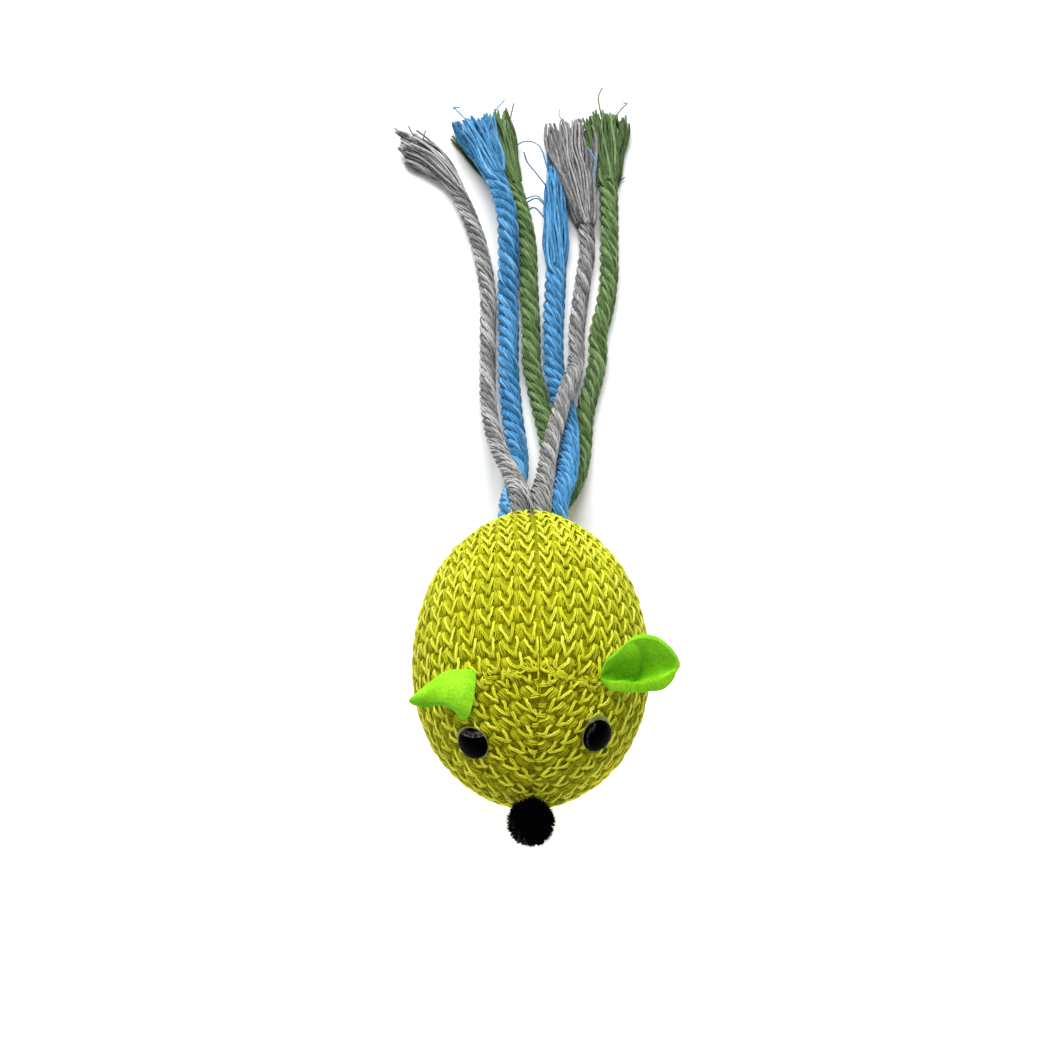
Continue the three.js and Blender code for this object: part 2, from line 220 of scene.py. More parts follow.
# Tubes along many paths, made as one curve and turned into a mesh. Each point keeps its place round and
# along its strand, so that a material can draw fibres along it, and a shade of its own.
def strandPiece(name, paths, thickness, sides, material, taper=evenTaper, seed=1):
    curve = bpy.data.curves.new(name + "Line", "CURVE")
    curve.dimensions = "3D"
    curve.bevel_depth = 0.5
    curve.bevel_resolution = (sides - 4) // 2
    for path, width in zip(paths, np.broadcast_to(thickness, len(paths))):
        count = len(path)
        spline = curve.splines.new("POLY")
        spline.points.add(count - 1)
        spots = np.column_stack([path, np.ones(count)]).astype(np.float32)
        spline.points.foreach_set("co", spots.ravel())
        profile = width * np.interp(np.linspace(0, 1, count), *taper)
        spline.points.foreach_set("radius", profile.astype(np.float32))
    holder = bpy.data.objects.new(name + "Line", curve)
    scene.collection.objects.link(holder)
    mesh = appliedMesh(holder)
    bpy.data.objects.remove(holder)
    mesh.name = name
    closeEnds(mesh)
    piece = bpy.data.objects.new(name, mesh)
    scene.collection.objects.link(piece)
    mesh.polygons.foreach_set("use_smooth", np.ones(len(mesh.polygons), bool))
    markStrands(mesh, paths, sides, seed)
    mesh.materials.clear()
    mesh.materials.append(material)
    return piece


def closeEnds(mesh):
    bm = bmesh.new()
    bm.from_mesh(mesh)
    bmesh.ops.holes_fill(bm, edges=[edge for edge in bm.edges if edge.is_boundary], sides=0)
    bmesh.ops.recalc_face_normals(bm, faces=bm.faces[:])
    bm.to_mesh(mesh)
    bm.free()


def markStrands(mesh, paths, sides, seed):
    rng = np.random.default_rng(seed)
    rows, shades = [], []
    for path in paths:
        along = lengthAlong(path) / mm
        angle = np.arange(sides) * 2 * math.pi / sides + rng.uniform(0, 6)
        ring = np.column_stack([np.cos(angle), np.sin(angle)])
        block = np.zeros((len(path), sides, 3))
        block[:, :, :2] = ring + rng.uniform(-50, 50)
        block[:, :, 2] = along[:, None] + rng.uniform(-50, 50)
        rows.append(block.reshape(-1, 3))
        shades.append(np.full(len(path) * sides, rng.uniform(0, 1)))
    rows = np.concatenate(rows)
    assert len(rows) == len(mesh.vertices), (len(rows), len(mesh.vertices))
    strand = mesh.attributes.new("strand", "FLOAT_VECTOR", "POINT")
    strand.data.foreach_set("vector", rows.astype(np.float32).ravel())
    shade = mesh.attributes.new("shade", "FLOAT", "POINT")
    shade.data.foreach_set("value", np.concatenate(shades).astype(np.float32))


# Yarn whose fibres run along each strand, from dark recesses to lit tops
def yarnMaterial(name, dark, middle, light, roughness=0.75, sheen=0.0, gloss=0.2,
                 streak=1.6, stretch=0.35, bump=0.35, tint=None):
    material, tree, shader = newMaterial(
        name, Roughness=roughness, Sheen_Weight=sheen, Sheen_Roughness=0.5, Specular_IOR_Level=gloss)
    place = {"Vector": attributeNode(tree, "strand", "Vector"), "Scale": (1, 1, stretch)}
    fibre = noiseNode(tree, addNode(tree, "ShaderNodeMapping", place).outputs["Vector"], streak, 4.0, 0.65)
    mixed = mathNode(tree, "MULTIPLY_ADD", attributeNode(tree, "shade", "Fac"), 0.3, fibre)
    level = mathNode(tree, "SUBTRACT", mixed, 0.15)
    colour = colourRamp(tree, level, [(0.28, dark), (0.5, middle), (0.72, light)])
    if tint:
        colour = tint(tree, colour)
    tree.links.new(colour, shader.inputs["Base Color"])
    addBump(tree, shader, fibre, bump, 0.15 * mm)
    return material


# Tail cords: plies of yarn twisted together, with a frayed end each
cordLook = {
    "plyPitch": 13 * mm,
    "yarnPitch": 60 * mm,
    "step": 0.9 * mm,
    "floorGap": 0.1 * mm,
    "rootPlace": 19 * mm,
    "rootReach": 15 * mm,
    "unwind": 3,
    "waveSize": 0.5,
    "waveLength": 2.6 * mm,
    "onFloor": 50 * mm,
    "unevenEnd": 3.5 * mm,
    "bend": (0.092, 0.098, 0.104),
    "exitY": 0.039,
    "frayPaintedShade": 0.74,
    "stray": 0.42 * mm,
    "strayStep": 0.8 * mm,
}
cordTones = {
    "grey": {
        "plies": 5, "plyShare": 0.20, "yarnsPerPly": 6, "yarnShare": 0.33,
        "fullness": 1.06, "rootSwell": 0.28,
        "shades": ((0.06, 0.06, 0.058), (0.27, 0.27, 0.265), (0.56, 0.56, 0.55)),
    },
    "blue": {
        "plies": 4, "plyShare": 0.24, "yarnsPerPly": 9, "yarnShare": 0.27,
        "fullness": 1.06, "rootSwell": 0.0,
        "shades": ((0.010, 0.10, 0.22), (0.062, 0.27, 0.53), (0.20, 0.50, 0.80)),
    },
    "green": {
        "plies": 4, "plyShare": 0.24, "yarnsPerPly": 9, "yarnShare": 0.27,
        "fullness": 1.05, "rootSwell": 0.0,
        "shades": ((0.03, 0.065, 0.018), (0.11, 0.195, 0.06), (0.26, 0.37, 0.155)),
    },
}
# Points and tips are in millimetres, the other sizes in metres. Loose is the untwisted length, and opening
# its width over the cord's, from the twist to the tip.
cordRoutes = {
    "grey_right": {
        "tone": "grey", "diameter": 0.0046, "length": 0.16, "loose": 0.022,
        "opening": ((0, 1), (0.6, 1.8), (1, 1.8)),
        "points": [
            (-2.5, 23, 28.6), (-2.5, 34, 28.6), (-2.6, 41, 28.6), (-4.4, 49.5, 22.2), (-8, 60.7, 13.6),
            (-10, 67.9, 9.2), (-11.8, 80.9, 4.6), (-12, 92, 2.4), (-12, 98, 2.4), (-12, 103, 2.4),
            (-12.3, 117.5, 2.4), (-16.2, 136.2, 2.4), (-23.6, 153.2, 2.6), (-29.4, 160.3, 3),
            (-35.6, 164.8, 3)],
        "fan": {"locks": 11, "strand": 0.9, "sway": 0.6,
                "tips": [(-36.4, 158.5, 2), (-39.2, 163, 3), (-39, 168.4, 3.5)]},
    },
    "blue_right": {
        "tone": "blue", "diameter": 0.006, "length": 0.158, "loose": 0.02,
        "opening": ((0, 1), (1, 1.5)),
        "points": [
            (-5.5, 23, 23.3), (-5.5, 34, 23.3), (-5.6, 41, 22.2), (-4.1, 52.3, 11.2), (-3.5, 60.2, 7.2),
            (-4.2, 69.9, 3.8), (-5.2, 78, 3.1), (-6.2, 92, 3.1), (-6.2, 98, 3.1), (-6.2, 103, 3.1),
            (-6.4, 114, 3.6), (-6.2, 126, 6.6), (-6.8, 138, 8.7), (-9.8, 149, 8.7), (-13.3, 160, 8.7),
            (-16.8, 168.5, 8.2)],
        "fan": {"locks": 12, "strand": 0.85, "sway": 0.6,
                "tips": [(-23.7, 169.5, 5), (-17.5, 173.5, 7.5), (-11.8, 173.5, 6.5)]},
    },
    "green_middle": {
        "tone": "green", "diameter": 0.0054, "length": 0.16, "loose": 0.024,
        "opening": ((0, 1), (1, 1.5)),
        "points": [
            (0.6, 23, 22.9), (0.6, 34, 22.9), (0.7, 41, 23), (2.6, 48, 16.8), (4.9, 56.7, 9.8),
            (5, 68.3, 4.3), (2.4, 82, 2.8), (0.3, 93, 2.8), (0.2, 98, 2.8), (0.2, 103, 2.8),
            (-0.4, 116.4, 2.8), (-1.2, 133.5, 2.8), (-5.6, 152.2, 2.8), (-9.4, 165, 2.8),
            (-11.7, 173.5, 2.8)],
        "fan": {"locks": 11, "strand": 0.85, "sway": 0.6,
                "tips": [(-23.2, 169.5, 1), (-13.5, 177, 2.5), (-6.8, 176.8, 2.5)]},
    },
    "blue_left": {
        "tone": "blue", "diameter": 0.006, "length": 0.143, "loose": 0.033,
        "opening": ((0, 1), (0.25, 1.3), (0.6, 1.1), (1, 0.5)),
        "points": [
            (6.8, 23, 24.6), (6.8, 34, 24.6), (7, 41.4, 24.4), (9.6, 53.6, 16), (10.4, 66.7, 8.8),
            (9.6, 78, 4.5), (7.4, 86, 3.1), (6.4, 93, 3.1), (6.4, 98, 3.1), (6.4, 104, 3.1),
            (7.2, 119.8, 3.1), (7.4, 130.5, 3.1), (7, 146, 3.1), (6.4, 155.5, 2.6)],
        "fan": {"locks": 6, "strand": 0.75, "sway": 0.4,
                "tips": [(5.2, 162.5, 1.2), (6.2, 160.5, 2), (7.2, 157.5, 1.5)]},
    },
    "grey_left": {
        "tone": "grey", "diameter": 0.0046, "length": 0.158, "loose": 0.034,
        "opening": ((0, 1), (0.5, 1.6), (1, 1.7)),
        "points": [
            (2.6, 23, 28.6), (2.6, 34, 28.6), (2.7, 41, 28.6), (3.6, 48.6, 23.3), (5, 59.5, 17.4),
            (8, 73.9, 12.2), (10.8, 84.5, 9.4), (12.6, 91.5, 3.8), (12.8, 95, 2.4), (13, 98, 2.4),
            (13, 103, 2.4), (15, 119.7, 2.4), (16.3, 130.6, 2.6), (14.9, 142.4, 4), (13.4, 154.7, 5),
            (12.4, 162, 5), (11.9, 170.5, 5)],
        "fan": {"locks": 12, "strand": 1.15, "sway": 1.5,
                "tips": [(6, 170, 3), (11.2, 173.2, 5), (17.8, 169.5, 3)]},
    },
    "green_left": {
        "tone": "green", "diameter": 0.0054, "length": 0.162, "loose": 0.023,
        "opening": ((0, 1), (1, 1.6)),
        "points": [
            (4.8, 23, 18), (4.8, 34, 18.2), (5.2, 41, 17.9), (9.8, 49.8, 10), (12.8, 58.5, 5),
            (14.2, 66.5, 2.9), (15.2, 78, 2.8), (17.6, 88, 2.8), (18.8, 94, 2.8), (19, 98, 2.8),
            (19, 102, 2.8), (21, 110.4, 2.8), (22.3, 119.6, 2.8), (22.6, 130.6, 2.8), (22.6, 152.2, 2.8),
            (22, 166, 2.9), (21.6, 174.5, 2.9)],
        "fan": {"locks": 13, "strand": 0.9, "sway": 0.8,
                "tips": [(15.2, 174.5, 2.5), (20.5, 178.8, 4), (28.4, 172.8, 2.5)]},
    },
}


def inMetres(points):
    return np.round(np.array(points, float) * mm, 7)


def lengthAlong(line):
    return np.concatenate([[0], np.cumsum(np.linalg.norm(np.diff(line, axis=0), axis=1))])


def rowsAt(places, along, rows):
    return np.column_stack([np.interp(places, along, column) for column in rows.T])


# A smooth line through the points, with even steps
def smoothLine(points, step):
    pts = np.array(points, float)
    pts = np.vstack([2 * pts[0] - pts[1], pts, 2 * pts[-1] - pts[-2]])
    dense = []
    for i in range(1, len(pts) - 2):
        rows = list(pts[i - 1:i + 3])
        gaps = np.sqrt(np.linalg.norm(np.diff(rows, axis=0), axis=1))
        knots = np.concatenate([[0], np.cumsum(gaps)])
        t = np.linspace(knots[1], knots[2], 40, endpoint=False)[:, None]
        for level in (1, 2):
            rows = [mixedRows(rows[k:k + 2], knots[k], knots[k + level], t) for k in range(4 - level)]
        dense.append(mixedRows(rows, knots[1], knots[2], t))
    dense = np.vstack(dense + [pts[-2][None]])
    return evenLine(dense, step)


def mixedRows(pair, low, high, t):
    return (pair[0] * (high - t) + pair[1] * (t - low)) / (high - low)


def evenLine(dense, step):
    along = lengthAlong(dense)
    count = max(2, int(round(along[-1] / step)) + 1)
    places = np.linspace(0, along[-1], count)
    return rowsAt(places, along, dense), places


# Side and upper directions carried along a line without twisting
def carriedFrames(line):
    tangents = np.gradient(line, axis=0)
    tangents /= np.linalg.norm(tangents, axis=1)[:, None]
    side = np.array([1.0, 0, 0])
    sides = []
    for tangent in tangents:
        side = side - tangent * (side @ tangent)
        side /= np.linalg.norm(side)
        sides.append(side)
    sides = np.array(sides)
    return tangents, sides, np.cross(sides, tangents)


def cordYarns(route, seed):
    rng = np.random.default_rng(seed)
    tone = cordTones[route["tone"]]
    line, along = smoothLine(inMetres(route["points"]), cordLook["step"])
    _, sides, uppers = carriedFrames(line)
    twisted = along[-1] - route["loose"]
    loose = np.clip((along - twisted) / route["loose"], 0, 1)
    unwind = cordLook["unwind"]
    turned = np.minimum(along, twisted) + (1 - np.exp(-loose * unwind)) * unwind * mm
    width = route["diameter"] * tone["fullness"]
    plyRadius = tone["plyShare"] * width
    helix = width / 2 - plyRadius
    yarnRadius = tone["yarnShare"] * plyRadius
    swell = 1 + tone["rootSwell"] * np.exp(-((along - cordLook["rootPlace"]) / cordLook["rootReach"]) ** 2)
    opening = np.interp(loose, *zip(*route["opening"])) * swell
    low = yarnRadius + cordLook["floorGap"]
    paths = []
    for ply in range(tone["plies"]):
        plyAngle = 2 * math.pi * (turned / cordLook["plyPitch"] + ply / tone["plies"])
        for yarn in range(tone["yarnsPerPly"]):
            yarnAngle = 2 * math.pi * (yarn / tone["yarnsPerPly"] - turned / cordLook["yarnPitch"])
            reach = plyRadius - yarnRadius * rng.uniform(0.9, 1.15)
            wave = loose * cordLook["waveSize"] * mm
            wave = wave * np.sin(along / cordLook["waveLength"] + rng.uniform(0, 6))
            across = (helix * np.cos(plyAngle) + reach * np.cos(yarnAngle)) * opening + wave
            upward = (helix * np.sin(plyAngle) + reach * np.sin(yarnAngle)) * (1 + 0.25 * (opening - 1))
            path = line + sides * across[:, None] + uppers * upward[:, None]
            path[:, 2] = np.where(along > cordLook["onFloor"], np.maximum(path[:, 2], low), path[:, 2])
            cut = int(rng.integers(0, int(cordLook["unevenEnd"] / cordLook["step"])))
            paths.append(path[:len(path) - cut])
    return paths, line, 2 * yarnRadius


# A frayed end: locks of a few strands wound loosely together, which leave the twist with the cord and open
# out to the line of its tips, cut at uneven lengths
fray = {
    "strands": 3,
    "points": 26,
    "lockRadius": 0.5,
    "lockOpens": 0.5,
    "open": 1.7,
    "startWidth": 0.85,
    "startHeight": (-0.35, 0.4),
    "tipSpread": (0.5, 1.1, 0.6),
    "waves": (6, 10),
    "wavePart": (0.5, 1),
    "waveHeight": 0.6,
    "twist": (2, 5),
    "cut": (0.93, 1.0),
    "lowest": 0.55 * mm,
    "taper": ([0, 0.85, 1], [1, 0.95, 0.7]),
}


def fanStrands(route, line, along, seed):
    rng = np.random.default_rng(seed)
    fan = route["fan"]
    first = np.argmin(np.abs(along - along[-1] + route["loose"]))
    t = np.linspace(0, 1, fray["points"])
    spine = rowsAt(t * (len(line) - 1 - first) + first, np.arange(len(line)), line)
    tips = splineThrough(inMetres(fan["tips"]), fan["locks"])
    sideways = (tips[-1] - tips[0]) / np.linalg.norm(tips[-1] - tips[0])
    upward = np.array([0, 0, 1])
    opened = (1 - (1 - t) ** fray["open"])[:, None]
    paths = []
    for index in range(fan["locks"]):
        share = (index + 0.5) / fan["locks"] - 0.5
        tip = tips[index] + rng.normal(0, 1, 3) * mm * fray["tipSpread"]
        start = sideways * share * route["diameter"] * fray["startWidth"]
        start = start + upward * (rng.uniform(*fray["startHeight"]) * route["diameter"])
        lock = spine + start * (1 - opened) + (tip - spine[-1]) * opened
        wave = np.sin(t * rng.uniform(*fray["waves"]) + rng.uniform(0, 6)) * np.sqrt(t)
        sway = wave * rng.uniform(*fray["wavePart"]) * fan["sway"] * mm
        lock = lock + sideways * sway[:, None]
        lock[:, 2] += sway * fray["waveHeight"]
        turned = rng.uniform(0, 6) + t * rng.uniform(*fray["twist"])
        reach = fan["strand"] * mm * fray["lockRadius"] * (1 + fray["lockOpens"] * t[:, None] ** 4)
        for part in range(fray["strands"]):
            angle = (turned + part * 2 * math.pi / fray["strands"])[:, None]
            strand = lock + (sideways * np.cos(angle) + upward * np.sin(angle)) * reach
            strand = rowsAt(np.linspace(0, rng.uniform(*fray["cut"]), len(t)), t, strand)
            strand[:, 2] = np.maximum(strand[:, 2], fray["lowest"])
            paths.append(strand)
    return paths


# Single threads that stand off the frayed ends
strayThreads = {
    "grey_right": [
        [(-30, 160.5, 4), (-34, 166, 4.5), (-35.5, 169.5, 4)],
        [(-28, 160, 4), (-31, 164.5, 5), (-30.5, 168, 4)]],
    "blue_right": [
        [(-13.5, 160, 10), (-10.5, 170, 10), (-7.5, 176.5, 7)],
        [(-16.5, 166, 9), (-21.5, 172.5, 8), (-22.5, 174.5, 6), (-20.5, 174.5, 6)]],
    "green_middle": [
        [(-9.5, 162, 3), (-6.5, 170, 3), (-4.8, 178.5, 2)]],
    "blue_left": [
        [(5.2, 155.5, 3), (2.5, 163, 4), (-1.5, 165, 3), (-7.9, 161.4, 1)],
        [(4.7, 150, 3), (1.2, 154.5, 4), (-0.8, 158, 3), (-1.8, 162.5, 1)],
        [(4.6, 144, 3), (2, 146.2, 4), (-1.2, 146.5, 2)],
        [(4.6, 143.2, 3), (2, 145.4, 4), (-1.2, 145.7, 1)],
        [(4.5, 139, 3), (1.2, 142.4, 4), (-1.2, 142.5, 1)],
        [(16.5, 160, 8), (19, 154.5, 8.5), (17.8, 150, 8)],
        [(8.5, 146.5, 1), (15, 150, 0.4), (22, 152, 0.4), (26.2, 153.3, 0.7), (27.6, 154.1, 1.2)]],
    "grey_left": [
        [(10.5, 168, 6), (8.5, 172, 6), (8.8, 175.5, 4)]],
    "green_left": [
        [(23.5, 170, 5), (27, 174.5, 6), (28.4, 176.5, 5), (27.5, 178, 3)],
        [(20.8, 172, 5), (20, 178, 6), (21.2, 182.5, 4)]],
}


# A ply of the right blue cord that stands out beside the right grey one where they leave the body
rootLoop = {
    "points": [(-5.8, 48.8, 21), (-6.4, 47.2, 22), (-6.8, 45.2, 23.4), (-6.4, 42.8, 25), (-5.6, 40.7, 26),
               (-4.7, 38.8, 26.5), (-3.6, 37.9, 26.5)],
    "step": 0.4 * mm,
    "pitch": 4.5 * mm,
    "radius": 0.35,
    "yarn": 0.75 * mm,
    "taper": ([0, 0.1, 0.9, 1], [0.4, 1, 1, 0.4]),
}


def addCords():
    looks, frayed = {}, {}
    for name, tone in cordTones.items():
        looks[name] = yarnMaterial(name + "Cotton", *tone["shades"], roughness=0.85, sheen=0.12)
        # The frayed ends take a darker copy of the cord's colours: painted shade between their loose strands
        shadedFrayColours = [tuple(part * cordLook["frayPaintedShade"] for part in shade) for shade in tone["shades"]]
        frayed[name] = yarnMaterial(name + "ShadedLooseCotton", *shadedFrayColours, roughness=0.9, sheen=0.08)
    for seed, (name, route) in enumerate(cordRoutes.items()):
        look, loose, fan = looks[route["tone"]], frayed[route["tone"]], route["fan"]
        paths, line, thickness = cordYarns(route, seed + 11)
        along = lengthAlong(line)
        rope = strandPiece("cord_" + name, paths, thickness, 6, look, seed=seed)
        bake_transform(rope)
        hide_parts("tail_root_" + name, "tail_end_" + name)
        fringe = strandPiece("fray_" + name, fanStrands(route, line, along, seed + 31), fan["strand"] * mm, 6,
                             loose, taper=fray["taper"], seed=seed + 20)
        strays = [smoothLine(inMetres(points), cordLook["strayStep"])[0] for points in strayThreads[name]]
        stray = strandPiece("stray_" + name, strays, cordLook["stray"], 6, loose, seed=seed + 40)
        for piece in (fringe, stray):
            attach(piece, name + "_cord_end")
        print("cord", name, "measures", round(float(along[-1]), 4))
    addRootLoop(looks["blue"])
    print("cords laid")


def addRootLoop(look):
    line, along = smoothLine(inMetres(rootLoop["points"]), rootLoop["step"])
    _, sides, uppers = carriedFrames(line)
    paths = []
    for turn in (0, math.pi):
        angle = (along / rootLoop["pitch"] * 2 * math.pi + turn)[:, None]
        paths.append(line + (sides * np.cos(angle) + uppers * np.sin(angle)) * rootLoop["radius"] * mm)
    loop = strandPiece("blue_root_loop", paths, rootLoop["yarn"], 6, look, rootLoop["taper"], 60)
    settle(loop)


# Knitted body: a stuffed cover with the stitches laid on it
body = {
    "widestY": -3.4,
    "frontLength": 36.6,
    "rearLength": 43.4,
    "halfWidth": 30.7,
    "backHeight": 28.0,
    "bellyDepth": 24.5,
    "centreZ": 24.0,
    "flatness": 3,
    "rearTaper": 0.35,
    "frontTaper": 0.12,
    "seamLean": math.tan(math.radians(4.5)),
    "dartY": -13.2,
    "dartReach": 17.0,
    "dartTurn": math.tan(math.radians(8)),
}
knit = {
    "wale": 5.4,
    "course": 4.3,
    "leanStart": 3.0,
    "leanSoft": 4.0,
    "faceLean": 0.78,
    "leanGrowth": 0.013,
    "leanFade": 0.009,
    "faceSpread": (0.23, 0.23),
    "backSpread": {1: (0.30, 0.35), -1: (0.40, 0.24)},
    "legFace": (1.12, 1.10, 0.95),
    "jitter": 0.2,
    "strand": 0.44,
    "strandGap": 0.38,
    "bump": 3.1,
    "bumpLift": -1.2,
    "bumpStrand": 0.32,
    "depth": 0.75,
    "overSeam": 1.2,
    "seamEdge": 0.3,
    "gather": {1: 0.4, -1: 0.08},
    "gatherReach": (8, 45),
    "seamDepth": (0.25, 0.7),
    "seamWidth": 1.1,
    "dartDepth": 0.7,
    "dartWidth": 1.2,
    "wales": (-8, 44),
    "fibreSpread": 0.24,
    # The loops and their fibres under the legs take darker copies of the leg yarn's colours: painted shade in
    # the recesses
    "shades": {
        "leg": ((0.42, 0.43, 0.002), (0.64, 0.66, 0.010), (0.90, 0.92, 0.12)),
        "bump": ((0.27, 0.28, 0.001), (0.47, 0.48, 0.004), (0.66, 0.68, 0.02)),
        "fibre": ((0.34, 0.35, 0.001), (0.53, 0.55, 0.005), (0.74, 0.76, 0.03)),
    },
}


# Point of the body in millimetres for unit directions, drawn in by the inset
def bodyPoints(unit, inset=0.0):
    x, y, z = unit[..., 0], unit[..., 1], unit[..., 2]
    rear = y > 0
    reach = np.where(rear, body["rearLength"], body["frontLength"]) - inset
    taper = 1 - np.where(rear, body["rearTaper"], body["frontTaper"]) * np.abs(y) ** 6
    ring = np.sqrt(np.clip(1 - z ** 2, 0, 1))
    belly = np.clip(1 - ring ** body["flatness"], 0, 1) ** (1 / body["flatness"])
    rise = np.where(z > 0, (body["backHeight"] - inset) * z, -(body["bellyDepth"] - inset) * belly)
    height = np.maximum(body["centreZ"] + taper * rise, inset)
    return np.stack([(body["halfWidth"] - inset) * taper * x, body["widestY"] + reach * y, height], axis=-1)


def unitAt(along, turn):
    ring = np.sqrt(np.clip(1 - along ** 2, 0, 1))
    return np.stack([ring * np.sin(turn), along + 0 * turn, ring * np.cos(turn)], axis=-1)


# One side of the body as a chart: distance across from the back seam, and distance back from the dart
class SideChart:
    def __init__(self, side):
        self.side = side
        self.alongs = np.sin(np.linspace(-math.pi / 2, math.pi / 2, 261)) * 0.9998
        self.turns = np.linspace(-0.6, math.pi + 0.6, 401)
        grid = bodyPoints(unitAt(self.alongs[:, None], self.turns[None, :]))
        grid[..., 0] *= side
        steps = np.linalg.norm(np.diff(grid, axis=1), axis=2)
        self.across = np.concatenate([np.zeros((len(grid), 1)), np.cumsum(steps, axis=1)], axis=1)
        self.setSeams(grid)
        ridge = bodyPoints(unitAt(self.alongs, np.full(len(self.alongs), 0.9)))
        back = lengthAlong(ridge)
        yRow = grid[:, len(self.turns) // 2, 1]
        self.back = back - np.interp(body["dartY"], yRow, back)
        self.start, self.end = self.back[1], self.back[-2]

    def setSeams(self, grid):
        lean = self.side * (grid[..., 0] - (grid[..., 2] - body["centreZ"]) * body["seamLean"])
        half = len(self.turns) // 2
        self.width = np.zeros(len(grid))
        for i, row in enumerate(lean):
            top = np.interp(0, row[:half], self.across[i, :half])
            bottom = np.interp(0, -row[half:], self.across[i, half:])
            self.across[i] -= top
            self.width[i] = bottom - top

    def widthAt(self, back):
        return np.interp(back, self.back, self.width)

    def directions(self, across, back):
        place = np.interp(back, self.back, np.arange(len(self.back)))
        low = np.clip(place.astype(int), 0, len(self.back) - 2)
        share = place - low
        turns = np.zeros(len(place))
        for i, (row, part) in enumerate(zip(low, share)):
            first = np.interp(across[i], self.across[row], self.turns)
            second = np.interp(across[i], self.across[row + 1], self.turns)
            turns[i] = first + (second - first) * part
        return np.interp(back, self.back, self.alongs), turns

    def points(self, across, back):
        along, turn = self.directions(np.asarray(across, float), np.asarray(back, float))
        place = bodyPoints(unitAt(along, turn))
        nudge = 1e-3
        eastward = bodyPoints(unitAt(along, turn + nudge)) - bodyPoints(unitAt(along, turn - nudge))
        backward = bodyPoints(unitAt(np.clip(along + nudge, -1, 1), turn)) - bodyPoints(
            unitAt(np.clip(along - nudge, -1, 1), turn))
        normal = np.cross(eastward, backward)
        normal /= np.linalg.norm(normal, axis=1)[:, None] + 1e-12
        for rows in (place, normal):
            rows[:, 0] *= self.side
        centre = np.array([0, body["widestY"], body["centreZ"]])
        facing = np.sign(np.sum(normal * (place - centre), axis=1))
        return place, normal * facing[:, None]


# Where a wale that starts at a distance from the seam lies, further back or forward: it leans to the seam
# in front of the dart, more near the nose and less on the cheeks, and it draws in towards the tail.
def waleAcross(side, start, back):
    ahead = knit["leanSoft"] * np.logaddexp(0, (knit["leanStart"] - back) / knit["leanSoft"])
    first, reach = knit["gatherReach"]
    drawn = 1 - knit["gather"][side] * np.clip((back - first) / reach, 0, 1) ** 1.5
    lean = np.clip(1 - knit["leanFade"] * start, 0.3, 1)
    return start * drawn - lean * (knit["faceLean"] * ahead + knit["leanGrowth"] * ahead ** 2)


def seamDip(across, back, width):
    edge = np.clip(np.minimum(across, width - across), 0, None)
    dip = np.where(back > 0, *knit["seamDepth"]) * np.exp(-(edge / knit["seamWidth"]) ** 2)
    dartBack = -body["dartTurn"] * across
    onDart = knit["dartDepth"] * (1 / (1 + np.exp((across - body["dartReach"]) / knit["dartWidth"])))
    return np.maximum(dip, onDart * np.exp(-((back - dartBack) / knit["dartWidth"]) ** 2))


# Places of the stitches of one wale from the tail to the nose, with the true length of the chart's millimetre
def waleStitches(chart, start):
    back = np.arange(chart.end - 0.4, chart.start + 0.4, -0.4)
    across = waleAcross(chart.side, start, back)
    inside = (across > -knit["wale"]) & (across < chart.widthAt(back) + knit["wale"])
    back, across = back[inside], across[inside]
    if len(back) < 3:
        return []
    place, _ = chart.points(across, back)
    along = lengthAlong(place)
    along -= np.interp(0, -back, along)
    found = []
    for index in range(int(along[0] // knit["course"]), int(along[-1] // knit["course"]) + 1):
        spot = (index + 0.5) * knit["course"]
        if along[0] < spot < along[-1]:
            stitchBack = np.interp(spot, along, back)
            reach = np.interp([spot - 0.5, spot + 0.5], along, back)
            rowAcross = waleAcross(chart.side, start, stitchBack)
            if -knit["overSeam"] < rowAcross < chart.widthAt(stitchBack) + knit["overSeam"]:
                found.append((stitchBack, 1 / max(0.2, abs(reach[0] - reach[1]))))
    return found


# One leg of a stitch, and the rounded loop seen between two wales: across and along, in shares of the leg's
# spread or of the stitch, with the height over the ground
legShape = np.array([
    (1.0, -0.60, -0.50), (1.03, -0.50, -0.05), (1.0, -0.36, 0.26), (0.88, -0.16, 0.48), (0.66, 0.06, 0.57),
    (0.42, 0.26, 0.53), (0.22, 0.43, 0.38), (0.13, 0.56, 0.05), (0.12, 0.68, -0.50)])
bumpShape = np.array([
    (0.5, -0.60, -1.1), (0.5, -0.48, -0.40), (0.5, -0.28, 0.0), (0.5, -0.02, 0.06), (0.5, 0.24, -0.10),
    (0.5, 0.50, -0.60)])
bumpProfile = ([0, 0.2, 0.45, 0.75, 1], [0.5, 0.95, 1, 0.85, 0.5])


